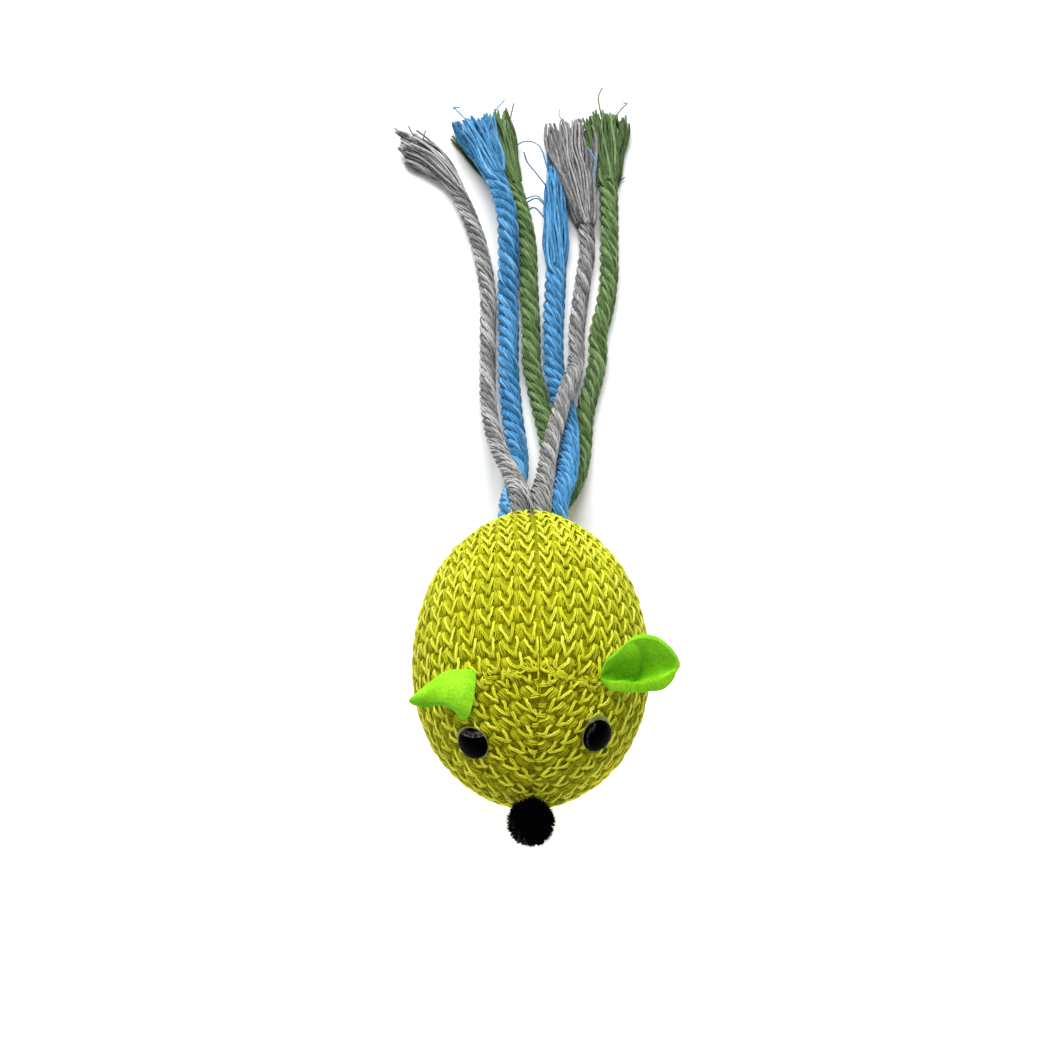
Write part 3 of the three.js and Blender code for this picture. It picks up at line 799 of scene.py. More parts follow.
def knitSide(chart, seed):
    rng = np.random.default_rng(seed)
    groups = {"leg": [], "bump": [], "fibre": []}
    faceSpread, backSpread = np.array(knit["faceSpread"]), np.array(knit["backSpread"][chart.side])
    for wale in range(*knit["wales"]):
        start = (wale + 0.5) * knit["wale"]
        for back, stretch in waleStitches(chart, start):
            spot = (start + rng.normal(0, knit["jitter"]), back + rng.normal(0, knit["jitter"]), stretch)
            onBack = min(1.0, max(0.0, (back + 4) / 8))
            spreads = faceSpread * (1 - onBack) + backSpread * onBack
            for mirror, spread in zip((1, -1), spreads):
                bent = legShape * (spread * rng.uniform(0.88, 1.12), 1, 1)
                bent = bent + rng.normal(0, 0.02, legShape.shape)
                shift, lift = rng.normal(0, 0.08), rng.normal(0, 0.07)
                for strand in (-0.5, 0.5):
                    shape = bent + rng.normal(0, 0.010, legShape.shape)
                    across = shift + strand * knit["strandGap"] * rng.uniform(0.7, 1.4)
                    groups["leg"].append(laidRow(chart, spot, shape, mirror, across, lift))
            loops = (1, -1) if wale == 0 and chart.side == 1 and back > 2 else (1,)
            for mirror in loops:
                addLoop(groups, chart, spot, mirror, rng)
    return {name: onBody(chart, rows) for name, rows in groups.items()}


def addLoop(groups, chart, spot, mirror, rng):
    loop = bumpShape + rng.normal(0, 0.02, bumpShape.shape)
    groups["bump"].append(laidRow(chart, spot, loop, mirror, 0, knit["bumpLift"]))
    for strand in (-0.9, -0.45, 0.0, 0.45, 0.9):
        shape = loop + rng.normal(0, 0.03, bumpShape.shape)
        shape[:, 0] += strand * knit["fibreSpread"] * np.array([0.9, 1, 1.05, 1, 0.85, 0.6])
        lift = knit["bumpLift"] + (knit["bump"] / 2) * (math.cos(strand) + 0.02)
        groups["fibre"].append(laidRow(chart, spot, shape, mirror, rng.normal(0, 0.12), lift))


# Lays a shape on a stitch, turned to run along its wale
def laidRow(chart, spot, shape, mirror, shift, lift):
    start, back, stretch = spot
    across = waleAcross(chart.side, start, np.array([back - 0.5, back, back + 0.5]))
    turn = math.atan((across[2] - across[0]) / stretch)
    sideways = mirror * (shape[:, 0] * knit["wale"] + shift)
    onward = shape[:, 1] * knit["course"]
    ahead = onward * math.cos(turn) + sideways * math.sin(turn)
    rowBack = np.clip(back - ahead / stretch, chart.start, chart.end)
    rowAcross = across[1] + sideways * math.cos(turn) - onward * math.sin(turn)
    return np.column_stack([rowAcross, rowBack, shape[:, 2] * 0.8 + lift])


def onBody(chart, rows):
    flat = np.concatenate(rows)
    width = chart.widthAt(flat[:, 1])
    beyond = np.maximum(knit["seamEdge"] - flat[:, 0], flat[:, 0] - width + knit["seamEdge"])
    flat[:, 0] = np.clip(flat[:, 0], knit["seamEdge"], width - knit["seamEdge"])
    flat[:, 2] -= np.clip(beyond, 0, 1)
    place, normal = chart.points(flat[:, 0], flat[:, 1])
    dip = seamDip(flat[:, 0], flat[:, 1], width)
    place = place + normal * (flat[:, 2] - knit["depth"] - dip)[:, None]
    place[:, 2] = np.maximum(place[:, 2], knit["strand"] / 2 + 0.05)
    return np.split(place * mm, np.cumsum([len(row) for row in rows])[:-1])


# The knit is paler towards the tail and darker towards the nose, partly its own tone and partly painted
# shade; it is darker on the flanks, which is painted shade, and uneven in patches
def knitToneAndShade(tree, colour, face=(0.86, 0.82, 0.60)):
    place = objectPlace(tree)
    parts = addNode(tree, "ShaderNodeSeparateXYZ", {"Vector": place})
    back = addNode(tree, "ShaderNodeMapRange", {
        "Value": parts.outputs["Y"], "From Min": -0.035, "From Max": 0.03, "To Min": 0.0, "To Max": 1.0})
    total = mathNode(tree, "MULTIPLY_ADD", noiseNode(tree, place, 60.0, 2.0), 0.5, back.outputs["Result"])
    shade = colourRamp(tree, total, [(0.2, face), (1.0, (1.0, 1.0, 1.0))])
    flank = mathNode(tree, "MULTIPLY", mathNode(tree, "ABSOLUTE", parts.outputs["X"]), 30.0)
    flankShade = colourRamp(tree, flank, [(0.55, (1.0, 1.0, 1.0)), (0.9, (0.78, 0.78, 0.78))])
    return shadedColour(tree, colour, shadedColour(tree, shade, flankShade))


# The legs instead grow lighter towards the nose: painted light on them
def legToneAndShade(tree, colour):
    return knitToneAndShade(tree, colour, knit["legFace"])


def addKnit():
    inner = {"roughness": 0.8, "tint": knitToneAndShade}
    shades = knit["shades"]
    looks = {
        "leg": yarnMaterial("knitYarn", *shades["leg"], 0.5, tint=legToneAndShade),
        "bump": yarnMaterial("knitLoop", *shades["bump"], streak=6.0, stretch=0.08, bump=0.8, **inner),
        "fibre": yarnMaterial("knitLoopFibre", *shades["fibre"], **inner),
    }
    widths = {"leg": knit["strand"], "bump": knit["bump"], "fibre": knit["bumpStrand"]}
    sides = {"leg": 6, "bump": 8, "fibre": 4}
    for name, side, seed in (("left", 1, 3), ("right", -1, 4)):
        for kind, paths in knitSide(SideChart(side), seed).items():
            taper = bumpProfile if kind == "bump" else evenTaper
            piece = strandPiece(f"{name}_knit_{kind}", paths, widths[kind] * mm, sides[kind], looks[kind],
                                taper, seed + len(kind))
            settle(piece)
            print(name, kind, "strands", len(paths))


cover = {
    "inset": 1.3,
    "voxel": 4 * mm,
    "pressure": 4.0,
    "frames": 20,
    "fullest": 0.5 * mm,
    "thickness": 1.1 * mm,
    "seamHold": 3 * mm,
    # The ground under the stitches is the same yarn, darker still: painted shade
    "shades": ((0.22, 0.225, 0.001), (0.36, 0.365, 0.003), (0.50, 0.51, 0.008)),
}


def padMaterial():
    material, tree, shader = newMaterial("shadedKnitGround", Roughness=0.9, Specular_IOR_Level=0.1)
    scaled = addNode(tree, "ShaderNodeMapping", {"Vector": objectPlace(tree), "Scale": (900, 2600, 900)})
    fibre = noiseNode(tree, scaled.outputs["Vector"], 1.0)
    colour = colourRamp(tree, fibre, list(zip((0.3, 0.5, 0.7), cover["shades"])))
    tree.links.new(knitToneAndShade(tree, colour), shader.inputs["Base Color"])
    addBump(tree, shader, fibre, 0.8, 0.3 * mm)
    return material


# The whole cover as an even net, blown out against its seams by the filling
def stuffedCover():
    bm = bmesh.new()
    bmesh.ops.create_uvsphere(bm, u_segments=96, v_segments=64, radius=1)
    units = np.array([v.co for v in bm.verts])
    units /= np.linalg.norm(units, axis=1)[:, None]
    for vert, spot in zip(bm.verts, bodyPoints(units, cover["inset"])):
        vert.co = Vector(spot) * mm
    piece = newObject("cover_form", bm)
    net = piece.modifiers.new("net", "REMESH")
    net.mode, net.voxel_size = "VOXEL", cover["voxel"]
    mesh = appliedMesh(piece)
    piece.modifiers.clear()
    piece.data = mesh
    blowOut(piece)
    fine = piece.modifiers.new("fine", "SUBSURF")
    fine.levels = fine.render_levels = 1
    mesh = appliedMesh(piece)
    bpy.data.objects.remove(piece)
    return mesh


def blowOut(piece):
    rest = np.array([v.co for v in piece.data.vertices])
    seam = np.abs(rest[:, 0] - (rest[:, 2] - body["centreZ"] * mm) * body["seamLean"])
    past = np.clip(np.abs(rest[:, 0]) - body["dartReach"] * mm, 0, None)
    dart = np.hypot(rest[:, 1] - body["dartY"] * mm, past)
    dart = np.where(rest[:, 2] > body["centreZ"] * mm, dart, 1)
    held = np.exp(-(np.minimum(seam, dart) / cover["seamHold"]) ** 2)
    sewn = piece.vertex_groups.new(name="sewn")
    for index, weight in enumerate(held):
        sewn.add([index], float(weight), "REPLACE")
    cloth = piece.modifiers.new("filling", "CLOTH").settings
    cloth.use_pressure = True
    cloth.uniform_pressure_force = cover["pressure"]
    cloth.vertex_group_mass = sewn.name
    cloth.effector_weights.gravity = 0
    for step in range(1, cover["frames"] + 1):
        scene.frame_set(step)
    shift = np.array([v.co for v in appliedMesh(piece).vertices]) - rest
    length = np.linalg.norm(shift, axis=1)
    print("cover filled out by up to", round(float(length.max() / mm), 2), "mm before the limit")
    shift *= np.minimum(1, cover["fullest"] / np.maximum(length, 1e-9))[:, None]
    scene.frame_set(1)
    piece.modifiers.clear()
    piece.data.vertices.foreach_set("co", (rest + shift).astype(np.float32).ravel())
    piece.data.update()


def addPads():
    look = padMaterial()
    whole = stuffedCover()
    for name, side in (("left", 1), ("right", -1)):
        bm = bmesh.new()
        bm.from_mesh(whole)
        lean = Vector((1, 0, -body["seamLean"])).normalized()
        middle = Vector((0.02 * mm * side, 0, body["centreZ"] * mm))
        bmesh.ops.bisect_plane(bm, geom=bm.verts[:] + bm.edges[:] + bm.faces[:], plane_co=middle,
                               plane_no=lean * side, clear_inner=True)
        bmesh.ops.recalc_face_normals(bm, faces=bm.faces[:])
        bmesh.ops.solidify(bm, geom=bm.faces[:], thickness=cover["thickness"])
        pad = newObject(name + "_side_cover", bm, look)
        settle(pad, name + "_side_panel")
    print("covers made")


# Point on the upper side of the body and the direction straight out of it
def surfaceSpot(x, y):
    length = body["rearLength"] if y > body["widestY"] else body["frontLength"]
    along = (y - body["widestY"]) / length
    taper = 1 - (body["rearTaper"] if along > 0 else body["frontTaper"]) * abs(along) ** 6
    sideways = x / (body["halfWidth"] * taper)
    unit = np.array([sideways, along, math.sqrt(max(0.0, 1 - sideways ** 2 - along ** 2))])
    place = bodyPoints(unit)
    nudge = 1e-3
    steps = []
    for axis in (0, 1):
        moved = unit.copy()
        moved[axis] += nudge
        steps.append(bodyPoints(moved / np.linalg.norm(moved)) - place)
    normal = np.cross(*steps)
    return place * mm, normal / np.linalg.norm(normal)


# Felt ears, each a sheet lofted through rows of points in millimetres, from its sewn end to its tip. A row
# runs from the lower edge to the rim on the left, from the upper edge to the lower on the right; its shades
# are painted shade, darkest in the hollow of the left ear and on the front of the right one.
ears = {
    "left": {
        "hinge": (0.0172, -0.0156, 0.0462), "bendEnd": (0.0205, -0.015, 0.047),
        "rows": [
            [(16.8, -13.8, 45.2), (16.8, -13.7, 45.4), (16.9, -13.6, 45.4), (17.1, -13.4, 45.5),
             (17.2, -13.2, 45.8), (17.4, -13, 46.2)],
            [(19.3, -16.3, 44.6), (19.2, -14.8, 46.4), (19.4, -14.2, 46.2), (19.6, -12.5, 46.6),
             (19.2, -11.6, 48.4), (18.7, -10.8, 49.8)],
            [(22.7, -16.9, 44.6), (22.7, -14.8, 46.6), (22.8, -14, 45.6), (22.7, -12, 48.2),
             (22, -10.7, 50.6), (21, -9.7, 52.4)],
            [(26.2, -17.3, 44.8), (25.8, -15.3, 46.8), (25.8, -14.4, 45.8), (26.5, -10.9, 50.6),
             (25.5, -8.5, 53.4), (23.6, -7.4, 54.2)],
            [(28.7, -17.1, 45.2), (27.8, -15.3, 47.2), (27.7, -13.2, 46), (27.9, -9.3, 48),
             (27, -7.8, 51.4), (25.9, -6.7, 54.8)],
            [(32.6, -16.7, 46), (30.9, -14.7, 48), (30.6, -12.7, 46.6), (31, -9.1, 48.4),
             (30.4, -7.7, 51.6), (29.2, -6.6, 54.8)],
            [(34.9, -14.9, 47.7), (33.9, -13.6, 49), (33.7, -12, 47.6), (33.8, -10.1, 49.4),
             (33.2, -9, 51.4), (32.4, -7.7, 53.5)],
            [(35.7, -13.5, 49), (35.8, -13, 49.2), (35.8, -12.4, 49.5), (35.8, -11.7, 50),
             (35.6, -10.9, 50.6), (35.1, -10.2, 51.3)]],
        "shades": [
            (0.5, 0.5, 0.9, 0.9, 0.7, 0.5), (0.35, 0.05, 1, 0.95, 0.7, 0.5), (0.3, 0, 1, 1, 0.7, 0.45),
            (0.3, 0, 1, 0.9, 0.4, 0.3), (0.3, 0, 0.6, 0.4, 0.4, 0.4), (0.3, 0, 0.3, 0.2, 0.3, 0.45),
            (0.3, 0.05, 0.2, 0.2, 0.3, 0.45), (0.35, 0.2, 0.2, 0.3, 0.35, 0.4)],
    },
    "right": {
        "hinge": (-0.0145, -0.0156, 0.0482), "bendEnd": (-0.0185, -0.0162, 0.0482),
        "rows": [
            [(-13.6, -12.3, 48.4), (-13.7, -16.9, 47.9), (-14.6, -21.5, 45.9), (-15.3, -23.2, 44.5),
             (-17, -24.1, 43.1)],
            [(-17.3, -12.4, 48.7), (-17.2, -17.1, 48.7), (-18.1, -20.8, 46.9), (-18.4, -21.4, 45),
             (-18.7, -21.7, 43.4)],
            [(-21, -12.6, 47.8), (-21.6, -16.3, 47.8), (-22.1, -19.3, 46.2), (-22.1, -19.7, 44.6),
             (-22.1, -20, 43.2)],
            [(-25.5, -15.2, 46), (-26, -17.3, 46), (-26.3, -18.8, 45.2), (-26.3, -19.5, 43.7),
             (-26.3, -20.2, 42.2)],
            [(-29.5, -17.9, 43.6), (-30, -18.2, 43.4), (-30.1, -18.6, 43.1), (-30.1, -19, 42.6),
             (-29.7, -19.4, 42)]],
        "shades": [
            (0.15, 0.1, 0.1, 0.5, 0.45), (0.05, 0, 0, 0.6, 0.45), (0, 0, 0.05, 0.75, 0.6),
            (0, 0, 0.3, 0.75, 0.8), (0.1, 0.1, 0.4, 0.7, 0.7)],
    },
}
feltSheet = {
    "thickness": 1.2 * mm,
    "cornerRound": 0.6 * mm,
    "smoothings": 8,
    "ripple": 0.12,
    "rippleScale": 420,
    "bevel": 0.3 * mm,
    "shadeStep": 0.01,
    "along": 52,
    "across": 44,
    "flat": (0.0225, 0.021),
    "darkestPaintedShade": (0.36, 0.54, 0.06),
    "shades": ((0.22, 0.64, 0.006), (0.32, 0.80, 0.015), (0.42, 0.92, 0.04)),
}


def splineThrough(points, count):
    line = smoothLine(points, 0.05)[0]
    return evenLine(line, np.linalg.norm(np.diff(line, axis=0), axis=1).sum() / (count - 1))[0]


def feltMaterial():
    material, tree, shader = newMaterial(
        "greenFelt", Roughness=0.95, Specular_IOR_Level=0.08, Sheen_Weight=0.06)
    place = objectPlace(tree)
    fuzz = noiseNode(tree, place, 1500.0, 5.0, 0.7)
    level = mathNode(tree, "MULTIPLY_ADD", noiseNode(tree, place, 160.0, 3.0), 0.45, fuzz)
    colour = colourRamp(tree, level, list(zip((0.57, 0.72, 0.88), feltSheet["shades"])))
    # Painted shade in the ears' hollows and folds, taken from the points' shades and mottled by the fuzz
    shadeLevel = mathNode(tree, "MULTIPLY_ADD", fuzz, 0.3, attributeNode(tree, "hollowShade", "Fac"))
    shade = colourRamp(tree, shadeLevel, [(0.15, (1, 1, 1)), (1.0, feltSheet["darkestPaintedShade"])])
    tree.links.new(shadedColour(tree, colour, shade), shader.inputs["Base Color"])
    addBump(tree, shader, fuzz, 0.6, 0.25 * mm)
    return material


def addEars():
    look = feltMaterial()
    for name, ear in ears.items():
        bm = feltNet(ear)
        area = sum(face.calc_area() for face in bm.faces)
        bmesh.ops.recalc_face_normals(bm, faces=bm.faces[:])
        for vert in bm.verts:
            ripple = noise.noise(vert.co * feltSheet["rippleScale"]) * feltSheet["ripple"] * mm
            vert.co += vert.normal * ripple
        bmesh.ops.solidify(bm, geom=bm.faces[:], thickness=feltSheet["thickness"])
        bmesh.ops.recalc_face_normals(bm, faces=bm.faces[:])
        piece = newObject(name + "_felt_ear", bm, look)
        bevel = piece.modifiers.new("cutEdge", "BEVEL")
        bevel.width, bevel.segments, bevel.limit_method = feltSheet["bevel"], 2, "ANGLE"
        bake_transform(piece)
        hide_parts(name + "_ear")
        print(name, "ear area", round(area * 1e6), "square mm")


# The net of an ear, with its painted shade, and with its corners cut round
def feltNet(ear):
    step = feltSheet["shadeStep"]
    rows = []
    for row, shades in zip(ear["rows"], ear["shades"]):
        shaded = np.column_stack([row, np.array(shades) * step])
        rows.append(splineThrough(shaded, feltSheet["across"] + 1))
    columns = [splineThrough([row[k] for row in rows], feltSheet["along"] + 1) for k in range(len(rows[0]))]
    bm = bmesh.new()
    bmesh.ops.create_grid(bm, x_segments=feltSheet["along"], y_segments=feltSheet["across"], size=1)
    hollowShade = bm.verts.layers.float.new("hollowShade")
    spots = sorted(bm.verts, key=lambda v: (round(v.co.y, 5), round(v.co.x, 5)))
    for vert, spot in zip(spots, np.concatenate(columns)):
        vert.co = spot[:3] * mm
        vert[hollowShade] = spot[3] / step
    corners = [vert.co.copy() for vert in bm.verts if len(vert.link_edges) == 2]
    near = [vert for vert in bm.verts
            if min((vert.co - corner).length for corner in corners) < feltSheet["cornerRound"]]
    for _ in range(feltSheet["smoothings"]):
        bmesh.ops.smooth_vert(bm, verts=near, factor=0.5, use_axis_x=True, use_axis_y=True, use_axis_z=True)
    return bm


# Button eyes and the glue round them, which is widest at its top. Each painted glint is a grey arc on the
# dial, whose x is the picture's right and y its top: the arc's middle, radius, half width, the side it keeps
# to and its grey.
eyes = {
    "left": {
        "spot": (16.3, -26.6), "turn": 0.45, "dial": 0.69, "glueTop": 0.75, "glueWide": 0.28,
        "paintedGlints": [((0, 0), 0.85, 0.06, (-1.0, 0.1), 0.04), ((0, 0), 0.72, 0.05, (0.9, -0.1), 0.008),
                  ((-1.53, 1.17), 1.2, 0.05, (0, 1.0), 0.08)],
    },
    "right": {
        "spot": (-14.3, -28.5), "turn": -0.55, "dial": -0.73, "glueTop": 0.6, "glueWide": 0.10,
        "paintedGlints": [((0.35, 3.67), 2.97, 0.15, (-0.1, 1.0), 0.075),
                  ((0.35, 3.67), 3.12, 0.04, (0.1, 1.0), 0.13),
                  ((1.0, 1.75), 2.40, 0.045, (-0.6, -0.8), 0.04)],
    },
}
eyeShape = {
    "radius": 4.12 * mm,
    "height": 1.5 * mm,
    "stretch": 1.04,
    "rim": 0.4 * mm,
    "sink": 0.3 * mm,
    "glue": 4.35 * mm,
    "glueDepth": 0.45 * mm,
    "glueRagged": 0.08,
    "black": 0.0005,
}


def eyeMaterial(name, paintedGlints):
    material, tree, shader = newMaterial(name + "EyePlasticGlints", Roughness=0.25, Specular_IOR_Level=0.01)
    dial = attributeNode(tree, "dial", "Vector")
    scratch = noiseNode(tree, dial, 6.0)
    broken = colourRamp(tree, scratch, [(0.42, (0.08, 0.08, 0.08)), (0.6, (1, 1, 1))])
    # Painted highlights: grey arcs on the black plastic, broken up by the scratch noise, in place of
    # reflections
    grey = eyeShape["black"]
    for middle, radius, half, side, level in paintedGlints:
        reach = addNode(tree, "ShaderNodeVectorMath", {0: dial, 1: (*middle, 0)}, operation="DISTANCE")
        off = mathNode(tree, "SUBTRACT", reach.outputs["Value"], radius)
        line = addNode(tree, "ShaderNodeMapRange", {
            "Value": mathNode(tree, "ABSOLUTE", off), "From Min": half * 0.5, "From Max": half * 1.2,
            "To Min": level, "To Max": 0.0}).outputs[0]
        along = addNode(tree, "ShaderNodeVectorMath", {0: dial, 1: (*side, 0)}, operation="DOT_PRODUCT")
        kept = addNode(tree, "ShaderNodeMapRange", {
            "Value": along.outputs["Value"], "From Min": 0.3, "From Max": 0.5}).outputs[0]
        grey = mathNode(tree, "MULTIPLY_ADD", line, kept, grey)
    glintGrey = mathNode(tree, "MULTIPLY", grey, broken)
    tint = addNode(tree, "ShaderNodeCombineColor", {"Red": glintGrey, "Green": glintGrey, "Blue": glintGrey}).outputs[0]
    tree.links.new(tint, shader.inputs["Base Color"])
    addBump(tree, shader, scratch, 0.15, 0.1 * mm)
    return material


def addEyes():
    glue = mottledMaterial("driedGlue", [
        (0.35, (0.15, 0.18, 0.012)), (0.55, (0.22, 0.25, 0.04)), (0.75, (0.40, 0.41, 0.18))],
        700.0, 0.3 * mm, bump=0.5, roughness=0.35, gloss=0.4)
    for name, eye in eyes.items():
        place, normal = surfaceSpot(*eye["spot"])
        normal = Vector(normal)
        upward = Vector((math.sin(eye["turn"]), math.cos(eye["turn"]), 0))
        upward = (upward - normal * upward.dot(normal)).normalized()
        base = Vector(place) - normal * eyeShape["sink"]
        axes = (base, upward.cross(normal), upward, normal)
        addEyeDome(name, eye, *axes)
        addEyeGlue(name, eye, *axes, glue)
    print("eyes set")


def addEyeDome(name, eye, base, sideways, upward, normal):
    bm = bmesh.new()
    bmesh.ops.create_uvsphere(bm, u_segments=48, v_segments=32, radius=1)
    cos, sin = math.cos(eye["dial"]), math.sin(eye["dial"])
    dials = []
    for vert in bm.verts:
        x, y, z = vert.co
        dials.append((x * cos + y * sin, y * cos - x * sin, 0))
        height = z * eyeShape["height"] if z > 0 else z * eyeShape["rim"]
        vert.co = (base + sideways * (x * eyeShape["radius"] * eyeShape["stretch"])
                   + upward * (y * eyeShape["radius"]) + normal * (height + eyeShape["rim"]))
    bmesh.ops.recalc_face_normals(bm, faces=bm.faces[:])
    piece = newObject(name + "_button_eye", bm, eyeMaterial(name, eye["paintedGlints"]))
    dial = piece.data.attributes.new("dial", "FLOAT_VECTOR", "POINT")
    dial.data.foreach_set("vector", np.array(dials, np.float32).ravel())
    settle(piece, name + "_eye")


def addEyeGlue(name, eye, base, sideways, upward, normal, look):
    bm = bmesh.new()
    bmesh.ops.create_uvsphere(bm, u_segments=64, v_segments=16, radius=1)
    for vert in bm.verts:
        x, y, z = vert.co
        wide = max(0.0, y * math.cos(eye["glueTop"]) - x * math.sin(eye["glueTop"]))
        uneven = eyeShape["glueRagged"] * noise.noise(Vector((x * 1.6, y * 1.6, len(name))))
        reach = eyeShape["glue"] * (1 + uneven + eye["glueWide"] * wide ** 3)
        vert.co = base + (sideways * x + upward * y) * reach + normal * (z * eyeShape["glueDepth"])
    bmesh.ops.recalc_face_normals(bm, faces=bm.faces[:])
    settle(newObject(name + "_eye_ring", bm, look), name + "_eye_glue")


# Pom-pom nose
nose = {
    "centre": (0, -44.5, 24),
    "core": 5.2,
    "tip": 6.0,
    "fibres": 3200,
    "fibre": 0.3 * mm,
    "taper": ([0, 1], [1, 0.5]),
    "glintSide": (-0.8, -0.5, -0.2),
    "glintFrom": 0.55,
    "glintPart": 0.25,
}


def addNose():
    fluff = yarnMaterial("noseFluff", (0.0001,) * 3, (0.0005,) * 3, (0.003,) * 3, 1.0, gloss=0.03)
    glint = yarnMaterial("noseGlintFibres", (0.003, 0.003, 0.003), (0.025, 0.027, 0.027), (0.14, 0.15, 0.15), 0.7)
    rng = np.random.default_rng(8)
    centre = np.array(nose["centre"])
    paths = {"fluff": [], "glint": []}
    for _ in range(nose["fibres"]):
        out = rng.normal(0, 1, 3)
        out /= np.linalg.norm(out)
        lean = rng.normal(0, 0.2, 3)
        reach = nose["tip"] * rng.uniform(0.9, 1.04)
        middle = centre + out * (nose["core"] + 0.35 * (reach - nose["core"])) + lean * 0.35
        # Some fibres on one side of the pompom are a lighter grey: painted glints
        shines = out @ nose["glintSide"] > nose["glintFrom"] and rng.uniform() < nose["glintPart"]
        paths["glint" if shines else "fluff"].append(
            np.array([centre + out * nose["core"] * 0.9, middle, centre + out * reach + lean]) * mm)
    for kind, look in (("fluff", fluff), ("glint", glint)):
        settle(strandPiece("nose_" + kind, paths[kind], nose["fibre"], 4, look, nose["taper"], 9))
    bm = bmesh.new()
    bmesh.ops.create_icosphere(bm, subdivisions=4, radius=nose["core"] * mm)
    for vert in bm.verts:
        vert.co = vert.co * (1 + 0.04 * noise.noise(vert.co * 900)) + Vector(nose["centre"]) * mm
    dark = mottledMaterial("noseCore", [(0.3, (0.0002,) * 3), (0.7, (0.0015,) * 3)], 1800.0, 0.3 * mm,
                           bump=0.6, roughness=1.0, gloss=0.05)
    core = newObject("nose_core", bm, dark)
    settle(core, "nose_pompom")
    print("nose made")


# Sewing threads of the seams and darts
sewing = {
    "bar": 2.5,
    "barHalf": 2.2,
    "backEnd": -3.0,
    "thread": 0.45 * mm,
    "dartYarns": 22,
    "dartCurls": 5,
    "dartThread": 0.46 * mm,
    "shades": ((0.36, 0.37, 0.002), (0.60, 0.62, 0.008), (0.88, 0.90, 0.08)),
}


def addSeams():
    yarn = yarnMaterial("seamYarn", *sewing["shades"], 0.55, tint=knitToneAndShade)
    charts = {"left": SideChart(1), "right": SideChart(-1)}
    rng = np.random.default_rng(21)
    for name, below in (("back_seam", False), ("belly_seam", True)):
        bars = seamBars(charts, below, rng)
        piece = strandPiece(name + "_stitches", bars, sewing["thread"], 6, yarn, seed=22)
        settle(piece, name + "_thread")
    for name, chart in charts.items():
        yarns = dartYarns(chart, rng)
        piece = strandPiece(name + "_dart_fold", yarns, sewing["dartThread"], 6, yarn, seed=23)
        settle(piece, name + "_dart_thread")
    print("seams sewn")


# Short bars of yarn that hook over a seam, two strands each; on the back they stop at the dart, where the
# sides meet edge to edge
def seamBars(charts, below, rng):
    paths = []
    last = charts["left"].end - 5 if below else sewing["backEnd"]
    for back in np.arange(charts["left"].start + 5, last, sewing["bar"]):
        half = sewing["barHalf"] * rng.uniform(0.7, 1.15)
        tilt, lead = rng.normal(0, 0.4), rng.choice([-1, 1])
        for strand in (-0.25, 0.25):
            row = []
            for share in np.linspace(-0.15, 1.0, 8):
                chart = charts["left"] if share * lead > 0 else charts["right"]
                across = abs(share) * half
                rowBack = back + strand + tilt * share
                flat = np.array([chart.widthAt(rowBack) - across if below else across])
                place, normal = chart.points(flat, np.array([rowBack]))
                dip = float(seamDip(np.array([across]), np.array([rowBack]), 90.0)[0])
                row.append((place + normal * (0.1 - dip * 0.8 - 0.8 * (2 * share - 0.85) ** 4))[0])
            row = np.array(row)
            row[:, 2] = np.maximum(row[:, 2], 0.35)
            paths.append(row * mm)
    return paths


# Broken, uneven yarns in pairs that lie about the dart's fold, from seam to ear, and curls by the seam
def dartYarns(chart, rng):
    paths = []
    share = np.linspace(-1, 1, 10)
    for _ in range(sewing["dartYarns"]):
        middle = rng.uniform(0.8, body["dartReach"] - 1)
        half, tilt, lane = rng.uniform(0.8, 1.7), rng.normal(0, 0.6), rng.normal(0, 0.8)
        bow = rng.normal(0, 0.4)
        height = -0.05 - 0.1 * lane ** 2 - 0.85 * share ** 4
        for strand in (-0.2, 0.2):
            across = np.maximum(0.3, middle + half * share * math.cos(tilt) - strand * math.sin(tilt))
            back = lane - body["dartTurn"] * across + half * share * math.sin(tilt)
            back = back + bow * share ** 2 + strand
            paths.append(laidThread(chart, across, back, height))
    for _ in range(sewing["dartCurls"]):
        radius, first = rng.uniform(0.9, 1.5), rng.uniform(0, 2 * math.pi)
        angle = np.linspace(first, first + rng.uniform(1.8, 3.2), 10)
        across = np.maximum(0.3, rng.uniform(0.5, 5.0) + radius * np.cos(angle))
        back = rng.uniform(-2.4, 1.8) + radius * np.sin(angle)
        paths.append(laidThread(chart, across, back, 0.05 - 0.7 * share ** 4))
    return paths


def laidThread(chart, across, back, height):
    place, normal = chart.points(across, back)
    return (place + normal * height[:, None]) * mm


# What is inside: fibre filling, the catnip sachet and the ties
inside = {
    "fluff": {"voxel": 2.0 * mm, "depth": 0.5 * mm, "scale": 260},
    "leaves": {"voxel": 1.0 * mm, "depth": 0.5 * mm, "scale": 700},
    "sachetFlat": (0.032, 0.042),
    "fibreShades": ((0.55, 0.55, 0.53), (0.75, 0.75, 0.73), (0.88, 0.88, 0.87)),
    "herbShades": ((0.06, 0.08, 0.02), (0.16, 0.19, 0.06), (0.30, 0.30, 0.13)),
    "clothShades": ((0.60, 0.57, 0.50), (0.74, 0.71, 0.64), (0.84, 0.82, 0.76)),
    "threadShades": ((0.30, 0.30, 0.28), (0.55, 0.55, 0.52), (0.75, 0.75, 0.72)),
    "tieTurns": 5,
    "tieInset": 0.4 * mm,
    "tieThread": 0.7 * mm,
    "stitchThread": 0.5 * mm,
}


def nodeMesh(node):
    bm = bmesh.new()
    source = bpy.data.objects[node]
    bm.from_mesh(source.data)
    bm.transform(source.matrix_world)
    bmesh.ops.remove_doubles(bm, verts=bm.verts[:], dist=1e-6)
    return bm


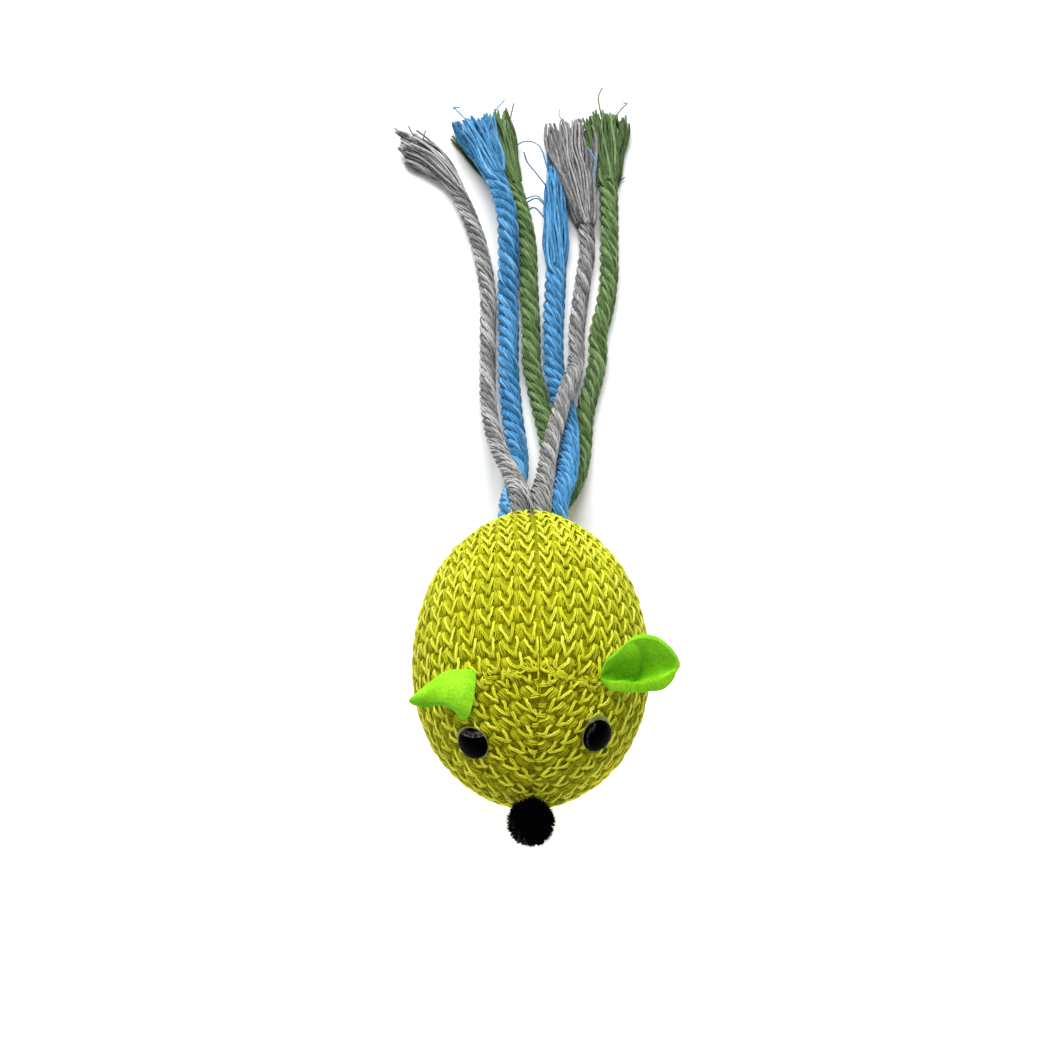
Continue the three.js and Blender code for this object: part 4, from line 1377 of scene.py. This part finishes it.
def fluffyCopy(name, node, look, grain):
    piece = newObject(name, nodeMesh(node), look)
    remesh = piece.modifiers.new("fibres", "REMESH")
    remesh.mode, remesh.voxel_size = "VOXEL", grain["voxel"]
    mesh = appliedMesh(piece)
    piece.modifiers.clear()
    bm = bmesh.new()
    bm.from_mesh(mesh)
    for face in bm.faces:
        face.smooth = True
    for vert in bm.verts:
        vert.co -= vert.normal * (grain["depth"] * (0.6 + 0.5 * noise.noise(vert.co * grain["scale"])))
    bm.to_mesh(piece.data)
    bm.free()
    piece.data.materials.clear()
    piece.data.materials.append(look)
    settle(piece, node)
    return piece


def mottledMaterial(name, stops, scale, depth, bump=0.8, roughness=0.95, gloss=0.15, detail=4.0, coarse=0.5):
    material, tree, shader = newMaterial(name, Roughness=roughness, Specular_IOR_Level=gloss)
    grain = noiseNode(tree, objectPlace(tree), scale, detail, coarse)
    tree.links.new(colourRamp(tree, grain, stops), shader.inputs["Base Color"])
    addBump(tree, shader, grain, bump, depth)
    return material


def insideMaterial(name, shades, scale, depth):
    return mottledMaterial(name, list(zip((0.3, 0.5, 0.7), shades)), scale, depth, detail=5.0, coarse=0.7)


def addInside():
    fibre = insideMaterial("fibreFilling", inside["fibreShades"], 500.0, 0.6 * mm)
    herb = insideMaterial("driedHerb", inside["herbShades"], 900.0, 0.8 * mm)
    cloth = insideMaterial("sachetCloth", inside["clothShades"], 2200.0, 0.15 * mm)
    for half in ("upper", "lower"):
        filling = fluffyCopy(half + "_fluff", half + "_fibre_filling", fibre, inside["fluff"])
    fluffyCopy("catnip_leaves", "catnip_filling", herb, inside["leaves"])
    for half in ("upper", "lower"):
        node = "sachet_" + half + "_cloth"
        sheet = newObject(half + "_sachet_sheet", nodeMesh(node), cloth)
        settle(sheet, node)
    addTies(yarnMaterial("tieThread", *inside["threadShades"]))
    print("inside filled")


def addTies(thread):
    low, high = (Vector(corner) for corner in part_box("tail_binding"))
    corners = [(low.x, low.z), (high.x, low.z), (high.x, high.z), (low.x, high.z)]
    turns, inset = inside["tieTurns"], inside["tieInset"]
    paths = []
    for turn in range(turns):
        y = low.y + (high.y - low.y) * (turn + 0.5) / turns
        loop = []
        for k in range(5):
            x, z = corners[k % 4]
            z += inset if z == low.z else -inset
            loop.append((x + math.copysign(inset, -x), y + 0.1 * mm * k, z))
        paths.append(evenLine(np.array(loop), 0.6 * mm)[0])
    binding = strandPiece("tail_tie", paths, inside["tieThread"], 6, thread, seed=50)
    settle(binding, "tail_binding")
    low, high = (Vector(corner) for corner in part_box("nose_stitch"))
    middle = (low + high) / 2
    loops = []
    for side in (-0.25, 0.25):
        x, z = middle.x + side * mm, middle.z
        loops.append(np.array([(x, low.y, z), (x, middle.y, z + 0.2 * mm), (x, high.y, z)]))
    stitch = strandPiece("nose_tie", loops, inside["stitchThread"], 6, thread, seed=51)
    settle(stitch, "nose_stitch")


addCamera()
addStudio()
addCords()
addPads()
addKnit()
addSeams()
addEars()
addEyes()
addNose()
addInside()
